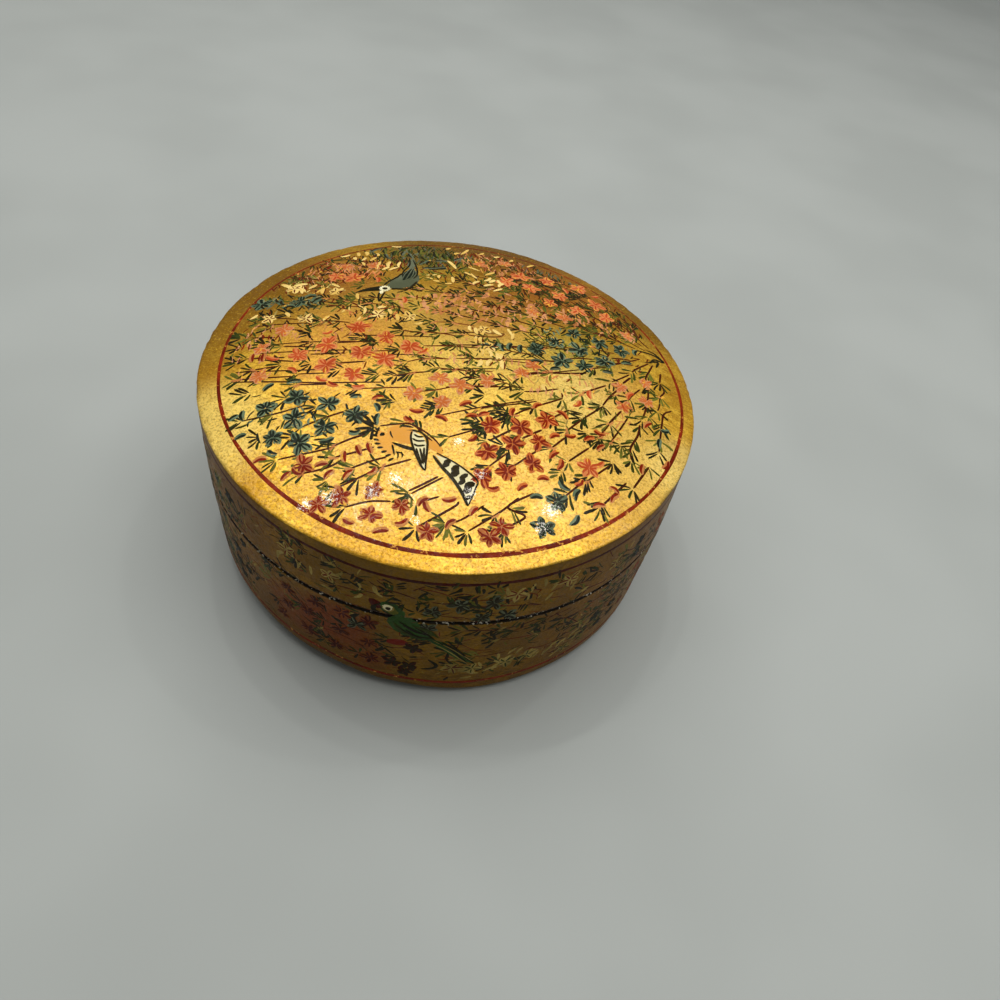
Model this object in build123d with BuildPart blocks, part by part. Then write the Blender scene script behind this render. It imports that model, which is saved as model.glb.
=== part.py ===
"""Round papier-mache box with a domed slip lid, in millimetres.

+Z is up, Z = 0 is the plane the box rests on, and the origin is the centre of the foot. The lid is
modelled closed, resting on the base.

Five pieces of pasted paper make the box. The base is a side wall, a floor pasted inside it and a thin
collar pasted inside its mouth. The lid is a side wall and a domed crown pasted on top. Once pasted, the
closed box is filed smooth as one body, so the outside of every piece is cut from one envelope.
"""

import os
from math import sqrt

from build123d import *

# ---------------------------------------------------------------------------
# Driving dimensions
# ---------------------------------------------------------------------------

# Outside of the closed box
outer_diameter = 127.0
seam_height = 34.2
rim_height = 52.8
crown_rise = 8.7
foot_rounding = 5.0
rim_bevel = 0.4

# Thickness of each piece
wall_thickness = 3.5
floor_thickness = 3.2
crown_thickness = 3.2
collar_thickness = 1.6

# Collar that guides the lid: pasted to the base below the seam, sanded thinner above it
collar_pasted_height = 9.0
collar_slip_height = 7.5
collar_lead_in = 0.6
slip_clearance = 0.35

# Crown: its edge lies on the lid's wall, and a spigot under it fills the bore
crown_edge_height = 3.0
crown_spigot_depth = 1.5
crown_spigot_width = 4.0
crown_flank_width = 24.0

# Bevels where the saw parted the lid from the base
seam_bevel = 0.45
lid_mouth_bevel = 0.5

# ---------------------------------------------------------------------------
# Sizes that follow from them
# ---------------------------------------------------------------------------

outer_radius = outer_diameter / 2
bore_radius = outer_radius - wall_thickness
apex_height = rim_height + crown_rise

# The crown is a cap of a large sphere through the rim and the apex.
dome_radius = (outer_radius**2 + crown_rise**2) / (2 * crown_rise)
dome_centre_height = apex_height - dome_radius


def dome_height(radius):
    """Height of the crown's outer face at a distance from the box's axis."""
    return dome_centre_height + sqrt(dome_radius**2 - radius**2)


crown_seat_height = rim_height - crown_edge_height
crown_spigot_bottom = crown_seat_height - crown_spigot_depth
crown_spigot_radius = bore_radius - crown_spigot_width
crown_flat_radius = crown_spigot_radius - crown_flank_width

collar_bottom = seam_height - collar_pasted_height
collar_top = seam_height + collar_slip_height
collar_bore_radius = bore_radius - collar_thickness
collar_slip_radius = bore_radius - slip_clearance

# ---------------------------------------------------------------------------
# Envelope: the filed outside of the closed box
# ---------------------------------------------------------------------------

with BuildPart() as envelope:
    with BuildSketch(Plane.XZ) as envelope_profile:
        with BuildLine():
            Polyline(
                (0, apex_height),
                (0, 0),
                (outer_radius, 0),
                (outer_radius, rim_height),
            )
            RadiusArc((outer_radius, rim_height), (0, apex_height), -dome_radius)
        make_face()
        foot_corner = envelope_profile.vertices().group_by(Axis.Y)[0].sort_by(Axis.X)[-1]
        fillet(foot_corner, foot_rounding)
        rim_corner = envelope_profile.vertices().sort_by(Axis.Y)[-2]
        chamfer(rim_corner, rim_bevel)
    revolve(axis=Axis.Z)

# ---------------------------------------------------------------------------
# Base
# ---------------------------------------------------------------------------

with BuildPart() as base_wall:
    with BuildSketch():
        Circle(outer_radius)
        Circle(bore_radius, mode=Mode.SUBTRACT)
    extrude(amount=seam_height)
    add(envelope.part, mode=Mode.INTERSECT)
    mouth_edges = base_wall.edges().group_by(Axis.Z)[-1]
    chamfer(mouth_edges.sort_by(SortBy.RADIUS)[-1], seam_bevel)
base_wall.part.label = "base_wall"

with BuildPart() as base_floor:
    with BuildSketch():
        Circle(bore_radius)
    extrude(amount=floor_thickness)
    add(envelope.part, mode=Mode.INTERSECT)
base_floor.part.label = "base_floor"

with BuildPart() as collar:
    with BuildSketch(Plane.XZ) as collar_profile:
        with BuildLine():
            Polyline(
                (collar_bore_radius, collar_bottom),
                (bore_radius, collar_bottom),
                (bore_radius, seam_height),
                (collar_slip_radius, seam_height),
                (collar_slip_radius, collar_top),
                (collar_bore_radius, collar_top),
                close=True,
            )
        make_face()
        lead_in_corner = collar_profile.vertices().group_by(Axis.Y)[-1].sort_by(Axis.X)[-1]
        chamfer(lead_in_corner, collar_lead_in)
    revolve(axis=Axis.Z)
collar.part.label = "collar"

# ---------------------------------------------------------------------------
# Lid
# ---------------------------------------------------------------------------

with BuildPart() as lid_wall:
    with BuildSketch(Plane.XY.offset(seam_height)):
        Circle(outer_radius)
        Circle(bore_radius, mode=Mode.SUBTRACT)
    extrude(amount=crown_seat_height - seam_height)
    add(envelope.part, mode=Mode.INTERSECT)
    mouth_edges = lid_wall.edges().group_by(Axis.Z)[0].sort_by(SortBy.RADIUS)
    chamfer(mouth_edges[-1], seam_bevel)
    mouth_edges = lid_wall.edges().group_by(Axis.Z)[0].sort_by(SortBy.RADIUS)
    chamfer(mouth_edges[0], lid_mouth_bevel)
lid_wall.part.label = "lid_wall"

with BuildPart() as lid_crown:
    with BuildSketch(Plane.XZ):
        with BuildLine():
            # The underside has a flat middle and one sloping flank, a crown's thickness below the dome.
            Polyline(
                (0, dome_height(crown_flat_radius) - crown_thickness),
                (0, apex_height),
                (outer_radius, apex_height),
                (outer_radius, crown_seat_height),
                (bore_radius, crown_seat_height),
                (bore_radius, crown_spigot_bottom),
                (crown_spigot_radius, crown_spigot_bottom),
                (crown_spigot_radius, dome_height(crown_spigot_radius) - crown_thickness),
                (crown_flat_radius, dome_height(crown_flat_radius) - crown_thickness),
                close=True,
            )
        make_face()
    revolve(axis=Axis.Z)
    add(envelope.part, mode=Mode.INTERSECT)
lid_crown.part.label = "lid_crown"

# ---------------------------------------------------------------------------
# One STEP file for each piece
# ---------------------------------------------------------------------------

os.makedirs("parts", exist_ok=True)
for piece in (base_wall, base_floor, collar, lid_wall, lid_crown):
    export_step(piece.part, f"parts/{piece.part.label}.step")
    box = piece.part.bounding_box()
    print(f"{piece.part.label}: {piece.part.volume / 1000:.2f} cm3, Z {box.min.Z:.2f} to {box.max.Z:.2f}")
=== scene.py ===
# %% [markdown]
# # A round papier-mache box with a gilt, painted and lacquered outside
#
# The real box is pasted paper: a tube for the side wall, a disc for the floor, a shallow dome for the
# lid's crown. It is filed smooth, brushed with gesso, then with bronze powder in varnish. A painter lays
# flowers, leaves and birds on that gold ground, and clear lacquer closes it all.
#
# The CAD frame gives the sizes and the bodies that move, and this file gives it its looks. First it sets
# the camera, the outline and the finishes. Then it follows the workshop: the paper body in its gold, the
# strokes of the crown, the birds, and the wall. The table and the lamps come last.

import random
from math import atan2, ceil, cos, hypot, pi, radians, sin, sqrt

import bpy
from mathutils import Matrix, Vector


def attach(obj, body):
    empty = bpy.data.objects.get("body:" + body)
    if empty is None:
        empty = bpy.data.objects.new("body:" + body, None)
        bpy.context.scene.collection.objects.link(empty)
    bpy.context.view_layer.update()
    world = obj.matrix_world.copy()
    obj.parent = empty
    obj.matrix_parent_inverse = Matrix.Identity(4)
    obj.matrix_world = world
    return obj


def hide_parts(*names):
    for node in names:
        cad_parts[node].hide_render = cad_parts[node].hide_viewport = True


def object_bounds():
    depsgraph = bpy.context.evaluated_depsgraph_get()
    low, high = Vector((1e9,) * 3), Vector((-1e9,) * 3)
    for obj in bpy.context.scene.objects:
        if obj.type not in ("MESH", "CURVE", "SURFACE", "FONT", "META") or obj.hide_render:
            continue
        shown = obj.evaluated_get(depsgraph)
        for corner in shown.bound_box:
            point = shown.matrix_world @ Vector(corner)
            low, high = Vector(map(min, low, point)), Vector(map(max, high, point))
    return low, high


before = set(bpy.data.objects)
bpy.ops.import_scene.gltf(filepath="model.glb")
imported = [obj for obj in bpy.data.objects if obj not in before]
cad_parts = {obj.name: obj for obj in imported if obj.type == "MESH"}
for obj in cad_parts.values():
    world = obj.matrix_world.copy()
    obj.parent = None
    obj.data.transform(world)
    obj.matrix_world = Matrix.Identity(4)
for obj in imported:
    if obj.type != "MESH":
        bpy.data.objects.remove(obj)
cad_low, cad_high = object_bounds()
MM = 0.001
print("CAD box in mm:", [round(v / MM, 2) for v in (*cad_low, *cad_high)])

# %% [markdown]
# ## The camera
#
# The photograph was taken with a phone held close, above and in front of the box, and turned a little.
# These angles were found by laying the rim, the seam and the foot of a round box of these sizes over
# the picture until all three lines met. A camera so near makes the rim's near side look large.
#
# A camera can be aimed by a Track To constraint, but then its roll is hard to set. Here its three axes
# are worked out one by one, and they are the columns of its matrix.

# %% Where the camera stands, in millimetres and pixels
CAMERA_ELEVATION = radians(48.65)
CAMERA_ROLL = radians(11.77)
CAMERA_DISTANCE = 193.8
RIM_HEIGHT = 52.9
RIM_CENTRE_PIXEL = (455.2, 373.2)
FOCAL_PIXELS = 751.0
PICTURE_PIXELS = 1000
SENSOR_WIDTH = 36.0

camera_back = Vector((0, -cos(CAMERA_ELEVATION), sin(CAMERA_ELEVATION)))
level_right = Vector((1, 0, 0))
level_up = camera_back.cross(level_right)
camera_right = cos(CAMERA_ROLL) * level_right + sin(CAMERA_ROLL) * level_up
camera_up = -sin(CAMERA_ROLL) * level_right + cos(CAMERA_ROLL) * level_up
across = (RIM_CENTRE_PIXEL[0] - PICTURE_PIXELS / 2) / FOCAL_PIXELS
down = (RIM_CENTRE_PIXEL[1] - PICTURE_PIXELS / 2) / FOCAL_PIXELS
sight = across * camera_right - down * camera_up - camera_back
camera_place = Vector((0, 0, RIM_HEIGHT)) - sight * CAMERA_DISTANCE
print("camera stands at", [round(v, 1) for v in camera_place], "mm")


# %% A phone camera, close and a little tilted
def put_in_scene(name, data):
    """A named object for a camera, a mesh or a lamp."""
    made = bpy.data.objects.new(name, data)
    bpy.context.scene.collection.objects.link(made)
    return made


phone = put_in_scene("phone_camera", bpy.data.cameras.new("phone_camera"))
turned = Matrix((camera_right, camera_up, camera_back)).transposed().to_4x4()
phone.matrix_world = Matrix.Translation(camera_place * MM) @ turned
phone.data.sensor_width = SENSOR_WIDTH
phone.data.lens = FOCAL_PIXELS / PICTURE_PIXELS * SENSOR_WIDTH
phone.data.clip_start = 0.01
bpy.context.scene.camera = phone
print("its lens is", round(phone.data.lens, 1), "mm on a", SENSOR_WIDTH, "mm sensor")

# %% [markdown]
# ## The hand-made outline
#
# Nothing on such a box is quite round. The rim rises and falls by half a millimetre, and the foot was
# rubbed rounder on one side than on the other. A Displace modifier could make a body uneven, but the
# paint would not follow it. So the unevenness is a formula: each line is a few heights round the box,
# with a smooth line through them, and the body and the paint both ask the same functions for points.


# %% A smooth line through a few values round the box
def around(values, degrees):
    """The value at an angle in degrees, eased between the nearest two of {angle: value}."""
    stops = sorted(values)
    degrees = (degrees - stops[0]) % 360 + stops[0]
    for here, there in zip(stops, stops[1:] + [stops[0] + 360]):
        if here <= degrees <= there:
            share = (degrees - here) / (there - here)
            ease = share * share * (3 - 2 * share)
            end = values.get(there, values[stops[0]])
            return values[here] + (end - values[here]) * ease


# heights in mm, by the angle round the box: -90 is the front and 0 the right side
RIM_HEIGHTS = {-125: 52.75, -90: 52.7, -55: 53.1, 0: 53.3, 60: 52.9, 120: 53.0, 180: 52.8}
FOOT_ROUNDINGS = {-180: 5.5, -130: 7.6, -108: 6.4, -90: 4.8, -70: 2.6, -48: 3.6, 0: 5.0, 90: 5.2}
print("rim height in front:", around(RIM_HEIGHTS, -90), "mm, and on the right:", around(RIM_HEIGHTS, 0), "mm")

# %% The sizes of the round body
WALL_RADIUS = round(cad_high[0] / MM, 1)
RIM_RADIUS = WALL_RADIUS - 0.75
SEAM_RADIUS = WALL_RADIUS - 0.2
FOOT_RADIUS = WALL_RADIUS - 0.7
SEAM_HEIGHT = 34.2
CROWN_SEAT_HEIGHT = 49.8
DOME_RISE = 8.3
DOME_RADIUS = (RIM_RADIUS**2 + DOME_RISE**2) / (2 * DOME_RISE)
print("the crown is part of a ball", round(2 * DOME_RADIUS), "mm across")


def on_axis(radius, angle, z):
    """A point at a radius and an angle round the box's axis, z mm above the table."""
    return Vector((radius * cos(angle), radius * sin(angle), z))


# %% The crown's surface
def hand_wave(x, y):
    """The unevenness that a file leaves over 20 to 40 mm, from -1 to 1."""
    return 0.5 * sin(x / 6.1 + 1.3) * sin(y / 7.3 + 0.4) + 0.5 * sin((x + y) / 11.0 + 2.1)


CROWN_WAVE = 0.09


def on_crown(x, y, lift=0.0):
    """A point on the domed crown, lift mm above it."""
    reach = hypot(x, y)
    rim = around(RIM_HEIGHTS, atan2(y, x) * 180 / pi) if reach > 0.01 else RIM_HEIGHT
    share = min(1.0, (reach / RIM_RADIUS) ** 2)
    edge = RIM_HEIGHT + (rim - RIM_HEIGHT) * share
    dome = sqrt(DOME_RADIUS**2 - reach**2) - (DOME_RADIUS - DOME_RISE)
    return Vector((x, y, edge + dome + CROWN_WAVE * hand_wave(x, y) + lift))


print("crown's top at", round(on_crown(0, 0).z, 2), "mm")

# %% The wall's surface
WALL_WAVE = 0.04


def wall_radius(angle, z):
    """The wall's outer radius, which leans in a little to the rim and curls under at the foot."""
    if z >= SEAM_HEIGHT:
        share = (z - SEAM_HEIGHT) / (RIM_HEIGHT - SEAM_HEIGHT)
        radius = SEAM_RADIUS + (RIM_RADIUS - SEAM_RADIUS) * share
    else:
        radius = FOOT_RADIUS + (SEAM_RADIUS - FOOT_RADIUS) * max(z, 0) / SEAM_HEIGHT
    rounding = around(FOOT_ROUNDINGS, angle * 180 / pi)
    if z < rounding:
        radius -= rounding - sqrt(max(0.0, rounding**2 - (rounding - z) ** 2))
    wave = sin(9 * angle + 1.3) * sin(z / 7.3 + 0.4) + sin(5 * angle + z / 11 + 2.1)
    return radius + WALL_WAVE * wave


def on_wall(arc, z, lift=0.0):
    """A point on the side wall: arc mm to the right of the front line, z mm up, lift mm off it."""
    angle = -pi / 2 + arc / WALL_RADIUS
    return on_axis(wall_radius(angle, z) + lift, angle, z)


print("the wall's foot in front is at", [round(v, 1) for v in on_wall(0, 0)], "mm")

# %% [markdown]
# ## Colours and nodes
#
# A colour picked from a picture is written in sRGB, but light is added up in linear values, so one
# function turns the one into the other. One more function adds a node, sets it and links it. Sockets
# that share a name, as on a Math or a Mix node, are given by number: i0 is the first one, and i6 and i7
# are the two colours of a Mix, whose mixed colour comes out at number 2.


# %% From a hex colour to linear light
def linear(hex_colour):
    """The colour of an sRGB hex value, in linear light, with an alpha of 1."""
    values = [int(hex_colour[i : i + 2], 16) / 255 for i in (1, 3, 5)]
    return (*[v / 12.92 if v <= 0.04045 else ((v + 0.055) / 1.055) ** 2.4 for v in values], 1)


print("half grey in linear light:", round(linear("#808080")[0], 3))

# %% One function for every node
NOISE = "ShaderNodeTexNoise"
RANGE = "ShaderNodeMapRange"
MIX = "ShaderNodeMix"
MATH = "ShaderNodeMath"
BUMP = "ShaderNodeBump"
PRINCIPLED = "ShaderNodeBsdfPrincipled"
EASED = {"interpolation_type": "SMOOTHSTEP"}
COLOUR = {"data_type": "RGBA"}
TIMES = {"operation": "MULTIPLY"}


def add(tree, kind, settings=None, **sockets):
    """Adds a node. A socket gets a value, a hex colour, or (node, output) to link."""
    node = tree.nodes.new(kind)
    for name, value in (settings or {}).items():
        setattr(node, name, value)
    for name, value in sockets.items():
        key = int(name[1:]) if name[0] == "i" and name[1:].isdigit() else name.replace("_", " ")
        if isinstance(value, tuple) and isinstance(value[0], bpy.types.Node):
            tree.links.new(value[0].outputs[value[1]], node.inputs[key])
        else:
            node.inputs[key].default_value = linear(value) if isinstance(value, str) else value
    return node


def new_material(name):
    """An empty material, and the place on the object that every pattern in it starts from."""
    material = bpy.data.materials.new(name)
    material.use_nodes = True
    material.node_tree.nodes.clear()
    place = add(material.node_tree, "ShaderNodeTexCoord")
    return material, material.node_tree, (place, "Object")


def blotches(size_mm):
    """The scale at which a noise has blotches of about size_mm."""
    return 1 / (size_mm * MM)


print("noise scale for blotches of 1 mm:", blotches(1))

# %% [markdown]
# ## Clear lacquer
#
# The last coat is a clear spirit varnish, put on with a soft brush. It bends light as most resins do,
# with an IOR of 1.5, and dries nearly smooth. It gathers in beads between the strokes, so its shine is
# broken up. It could be a shell of glass round the box, but the coat of the Principled shader does the
# same without a second surface.
#
# In front, the lamps' glints on the beaded lacquer break into tiny white specks. Glints smaller than a
# pixel are lost in a render, so these specks are painted into the colour as a pattern half a millimetre
# wide, at fixed places, instead of being left to the lamps.


# %% Beads and ripples of lacquer, for a shader's coat
def lacquer_coat(tree, place, thin, thick):
    """The coat's sockets: how much lacquer there is, from thin to thick, and how it ripples."""
    beads = add(tree, NOISE, Vector=place, Scale=blotches(0.9), Detail=4, Roughness=0.75)
    gathered = add(
        tree, RANGE, EASED, Value=(beads, "Fac"), From_Min=0.46, From_Max=0.56, To_Min=thin, To_Max=thick
    )
    ripple = add(tree, NOISE, Vector=place, Scale=blotches(0.8), Detail=3, Roughness=0.7)
    film = add(tree, BUMP, Strength=1.0, Distance=0.03 * MM, Height=(ripple, "Fac"))
    return {
        "Coat_Weight": (gathered, 0),
        "Coat_Roughness": 0.06,
        "Coat_IOR": 1.5,
        "Coat_Normal": (film, 0),
    }


# %% A patch round a spot, and the patches of painted glints
def patch(tree, place, spot, full, gone, strength):
    """A share that is strength within full mm of a spot in mm, and fades to nothing at gone mm."""
    away = add(tree, "ShaderNodeVectorMath", {"operation": "DISTANCE"}, i0=place, i1=Vector(spot) * MM)
    return add(
        tree, RANGE, EASED, Value=(away, "Value"),
        From_Min=full * MM, From_Max=gone * MM, To_Min=strength, To_Max=0.0,
    )


# each is a place on the crown and a reach, in mm, and the painted glints run out at 1.8 times that reach
PAINTED_GLINT_SPOTS = [
    ((-17.5, -50.5), 5.5), ((-5, -43.5), 5), ((-9, -47.5), 5), ((29.5, -42), 5), ((28, -47), 4.5),
    ((11.5, -43), 4), ((12.6, -37.6), 3.5), ((6, -30.5), 3.5), ((-22, -53), 4), ((1.5, -52), 3),
]


def painted_glints(tree, place):
    """The share of painted glints: 1 where a white speck is painted, and 0 between them."""
    zone = None
    for (x, y), reach in PAINTED_GLINT_SPOTS:
        near = patch(tree, place, on_crown(x, y), 0.0, reach * 1.8, 0.92)
        zone = near if zone is None else add(tree, MATH, {"operation": "MAXIMUM"}, i0=(zone, 0), i1=(near, 0))
    glint_specks = add(
        tree, NOISE, Vector=place, Scale=blotches(0.5), Detail=4, Roughness=0.85, Distortion=0.8
    )
    share = add(tree, MATH, TIMES, i0=(glint_specks, "Fac"), i1=(zone, 0))
    return add(tree, RANGE, EASED, Value=(share, 0), From_Min=0.47, From_Max=0.51)


# these are the patches where glints are painted into the colour
print(len(PAINTED_GLINT_SPOTS), "patches of lifted lacquer")

# %% [markdown]
# ## Bronze-powder gilding
#
# The gold is not leaf. It is bronze powder, a brass flake about 0.05 mm across, brushed on in varnish.
# It shines like metal where the flakes lie flat and goes dull where the varnish is thick, so it is
# partly metal and fairly rough, with the lacquer over it. From above it is bright yellow, and on the
# wall, which looks into the shade, it turns olive brown; that shade is painted into the wall's gold,
# which is a darker, browner copy. Single flakes are too fine to show, so the grain is drawn 0.6 mm
# wide, as large as the clumps of flakes that the eye sees.
#
# An image of real gilding could be wrapped round the box, but it would stretch and repeat. Noise in
# millimetres has the same size everywhere, and the washes of colour and the patches of painted shade
# and highlight are soft patches at chosen places.


# %% Varnish in clouds and daubs, washes of thin colour, and patches of painted shade and highlight
def gold_ground(tree, place, bright, deep, washes_and_painted_light):
    """Gold laid bright and deep, then tints and patches of painted shade and highlight, each given as (centre
    in mm, reach in mm, colour, strength).
    """
    clouds = add(tree, NOISE, Vector=place, Scale=blotches(22), Detail=3)
    clouded = add(tree, RANGE, EASED, Value=(clouds, "Fac"), From_Min=0.38, From_Max=0.62)
    gold = add(tree, MIX, COLOUR, i0=(clouded, 0), i6=deep, i7=bright)
    brushed = add(tree, "ShaderNodeMapping", Vector=place, Scale=(0.4, 1, 1))
    daubs = add(
        tree, NOISE, Vector=(brushed, 0), Scale=blotches(1.5), Detail=4, Roughness=0.7, Distortion=0.5
    )
    daubed = add(tree, RANGE, EASED, Value=(daubs, "Fac"), From_Min=0.36, From_Max=0.62)
    gold = add(tree, MIX, COLOUR, i0=(daubed, 0), i6=deep, i7=(gold, 2))
    for centre, reach, colour, strength in washes_and_painted_light:
        washed_and_painted_light = patch(tree, place, centre, reach * 0.35, reach, strength)
        gold = add(tree, MIX, COLOUR, i0=(washed_and_painted_light, 0), i6=(gold, 2), i7=colour)
    return gold


# %% Clumps of flakes, dark where they stand and bright where they lie flat
def flaked(tree, place, gold, speck, bright, speckle):
    """The gold with its grain, and the noise of the flakes, for the roughness and the relief."""
    flakes = add(tree, NOISE, Vector=place, Scale=blotches(0.6), Detail=4, Roughness=0.75)
    dark = add(
        tree, RANGE, EASED, Value=(flakes, "Fac"), From_Min=0.36, From_Max=0.55, To_Min=speckle, To_Max=0.0
    )
    gold = add(tree, MIX, COLOUR, i0=(dark, 0), i6=(gold, 2), i7=speck)
    flat = add(tree, NOISE, Vector=place, Scale=blotches(0.7), Detail=3, Roughness=0.7)
    glints = add(tree, RANGE, EASED, Value=(flat, "Fac"), From_Min=0.54, From_Max=0.7, To_Max=speckle)
    return add(tree, MIX, COLOUR, i0=(glints, 0), i6=(gold, 2), i7=bright), flakes


# %% Along the seam: ragged dark edges, partly worn paint and partly painted shade of the gap between lid and base, and flecks of bare white gesso
def worn_seam(tree, place, gold):
    """The gold with its darkened band, worn and painted with the gap's shade, from 1.4 mm below the seam to
    1.6 mm above it.
    """
    spots = add(tree, "ShaderNodeSeparateXYZ", i0=place)
    below = add(
        tree, RANGE, EASED, Value=(spots, "Z"), From_Min=(SEAM_HEIGHT - 1.4) * MM, From_Max=SEAM_HEIGHT * MM
    )
    above = add(
        tree, RANGE, EASED, Value=(spots, "Z"),
        From_Min=SEAM_HEIGHT * MM, From_Max=(SEAM_HEIGHT + 1.6) * MM, To_Min=1.0, To_Max=0.0,
    )
    seam = add(tree, MATH, TIMES, i0=(below, 0), i1=(above, 0))
    nicks = add(tree, NOISE, Vector=place, Scale=blotches(1.1), Detail=3, Roughness=0.7)
    ragged = add(tree, MATH, TIMES, i0=(nicks, "Fac"), i1=(seam, 0))
    # near-black, ragged along the seam: worn edges, and painted shade in the gap between lid and base
    seam_wear_and_shade = add(tree, RANGE, EASED, Value=(ragged, 0), From_Min=0.17, From_Max=0.3)
    gold = add(tree, MIX, COLOUR, i0=(seam_wear_and_shade, 0), i6=(gold, 2), i7="#120c06")
    chips = add(tree, NOISE, Vector=place, Scale=blotches(0.8), Detail=2)
    bare = add(tree, RANGE, EASED, Value=(chips, "Fac"), From_Min=0.6, From_Max=0.66)
    flecks = add(tree, MATH, TIMES, i0=(bare, 0), i1=(seam, 0))
    return add(tree, MIX, COLOUR, i0=(flecks, 0), i6=(gold, 2), i7="#cfc6b2")


# %% The gilding, ground to lacquer
def gilding(name, bright, deep, speck, washes_and_painted_light, speckle, film_thin, film_thick):
    """Bronze powder in varnish, with colour washed over it, patches of painted shade and highlight, painted
    glints, and a coat of beaded lacquer.
    """
    material, tree, place = new_material(name)
    gold = gold_ground(tree, place, bright, deep, washes_and_painted_light)
    gold, flakes = flaked(tree, place, gold, speck, bright, speckle)
    gold = worn_seam(tree, place, gold)
    # white specks in the patches in front: painted glints of the lamps on the lacquer
    gold = add(tree, MIX, COLOUR, i0=(painted_glints(tree, place), 0), i6=(gold, 2), i7="#fff6e2")
    rough = add(
        tree, RANGE, EASED, Value=(flakes, "Fac"), From_Min=0.3, From_Max=0.7, To_Min=0.56, To_Max=0.42
    )
    swell = add(tree, NOISE, Vector=place, Scale=blotches(3.0), Detail=3)
    relief = add(
        tree, MATH, {"operation": "MULTIPLY_ADD"}, i0=(swell, "Fac"), i1=2.5, i2=(flakes, "Fac")
    )
    bump = add(tree, BUMP, Strength=0.8, Distance=0.07 * MM, Height=(relief, 0))
    shader = add(
        tree,
        PRINCIPLED,
        Base_Color=(gold, 2),
        Metallic=0.7,
        Roughness=(rough, 0),
        Normal=(bump, 0),
        Specular_IOR_Level=0.1,
        Specular_Tint="#e8b24a",
        **lacquer_coat(tree, place, film_thin, film_thick),
    )
    add(tree, "ShaderNodeOutputMaterial", Surface=(shader, "BSDF"))
    return material


# %% Tints washed over the gold, and patches of painted shade and highlight
CROWN_WASHES_AND_PAINTED_LIGHT = [
    # painted shade at the back of the rim, on the right
    ((52, 44, 50), 26, "#5c4114", 0.6),
    # painted shade along the left of the rim
    ((-68, -16, 50), 22, "#9a6e20", 0.35),
    ((36, -8, 58), 22, "#e2bf5e", 0.5),
    ((50, -24, 55), 14, "#efd070", 0.45),
    # these three are darker and tone down the overhead lamp's highlight in front: painted shade
    ((6, -30, 58), 20, "#cda24a", 0.6),
    ((-10, -42, 57), 24, "#c49c4a", 0.7),
    ((16, -42, 56), 26, "#c8a04e", 0.65),
    ((4, -3, 60), 18, "#f0cf6a", 0.35),
    ((32, -4, 57), 14, "#f4da84", 0.4),
    ((-20, 0, 60), 34, "#e6cc6e", 0.32),
    ((24, -6, 60), 34, "#e8cc72", 0.32),
    # duller at the front right too, toning down the same highlight: painted shade
    ((40, -30, 55), 24, "#cfa854", 0.5),
    # painted highlight on the rim at the front left
    ((-49, -37, 54), 20, "#f8de7c", 0.6),
    # these three darken the back of the crown: painted shade
    ((0, 62, 50), 20, "#8a7858", 0.45),
    ((-72, 20, 50), 52, "#7d5718", 0.8),
    ((0, 74, 50), 58, "#6e4c16", 0.75),
    ((-27, -6, 58), 24, "#d98435", 0.4),
    ((-38, 26, 56), 18, "#a0522a", 0.5),
    ((20, 38, 57), 26, "#a8552a", 0.55),
    ((2, 18, 60), 20, "#b87a40", 0.5),
    ((30, 12, 58), 15, "#8f8a2c", 0.45),
    ((-20, 46, 56), 15, "#4c4a2c", 0.6),
    ((44, 0, 57), 13, "#d8923e", 0.3),
    ((59, -18, 52), 13, "#f4dc84", 0.5),
]
WALL_WASHES = [
    ((-14, -62, 24), 13, "#7a3110", 0.75),
    ((-24, -58, 20), 12, "#7a3110", 0.6),
    ((-6, -63, 14), 9, "#7a3110", 0.5),
    ((0, -63, 50), 12, "#7c5810", 0.3),
]
print(len(CROWN_WASHES_AND_PAINTED_LIGHT), "washes on the crown,", len(WALL_WASHES), "on the wall")

# %% The crown's gold is bright; the wall's is a darker, browner copy of it, painted shade for a wall that looks away from the light
crown_gold = gilding(
    "bronze_powder_gilding_crown", "#e9bc42", "#bb8a26", "#7c540f", CROWN_WASHES_AND_PAINTED_LIGHT, 0.6, 0.02, 0.4
)
# the same gilding in darker, browner colours: painted shade on the wall
wall_gold_painted_shade = gilding(
    "bronze_powder_gilding_wall_painted_shade", "#8a660f", "#6c4f0b", "#3a2806", WALL_WASHES, 0.3, 0.15, 0.35
)
print(len(crown_gold.node_tree.nodes), "nodes in", crown_gold.name)

# %% [markdown]
# ## Gouache under lacquer
#
# The flowers are painted with pigment bound in gum, which dries matt and slightly streaky from the hair
# of the brush. The lacquer over it gives back the shine. So each paint is a rough body colour, streaked
# by the brush, under a smooth coat. One flat colour a pot would be quicker, but it looks printed. In
# some pots the paint has rubbed thin, and the gold shows through. The hairs of a brush are finer than a
# pixel, so the streaks are drawn 0.5 mm wide.


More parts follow.
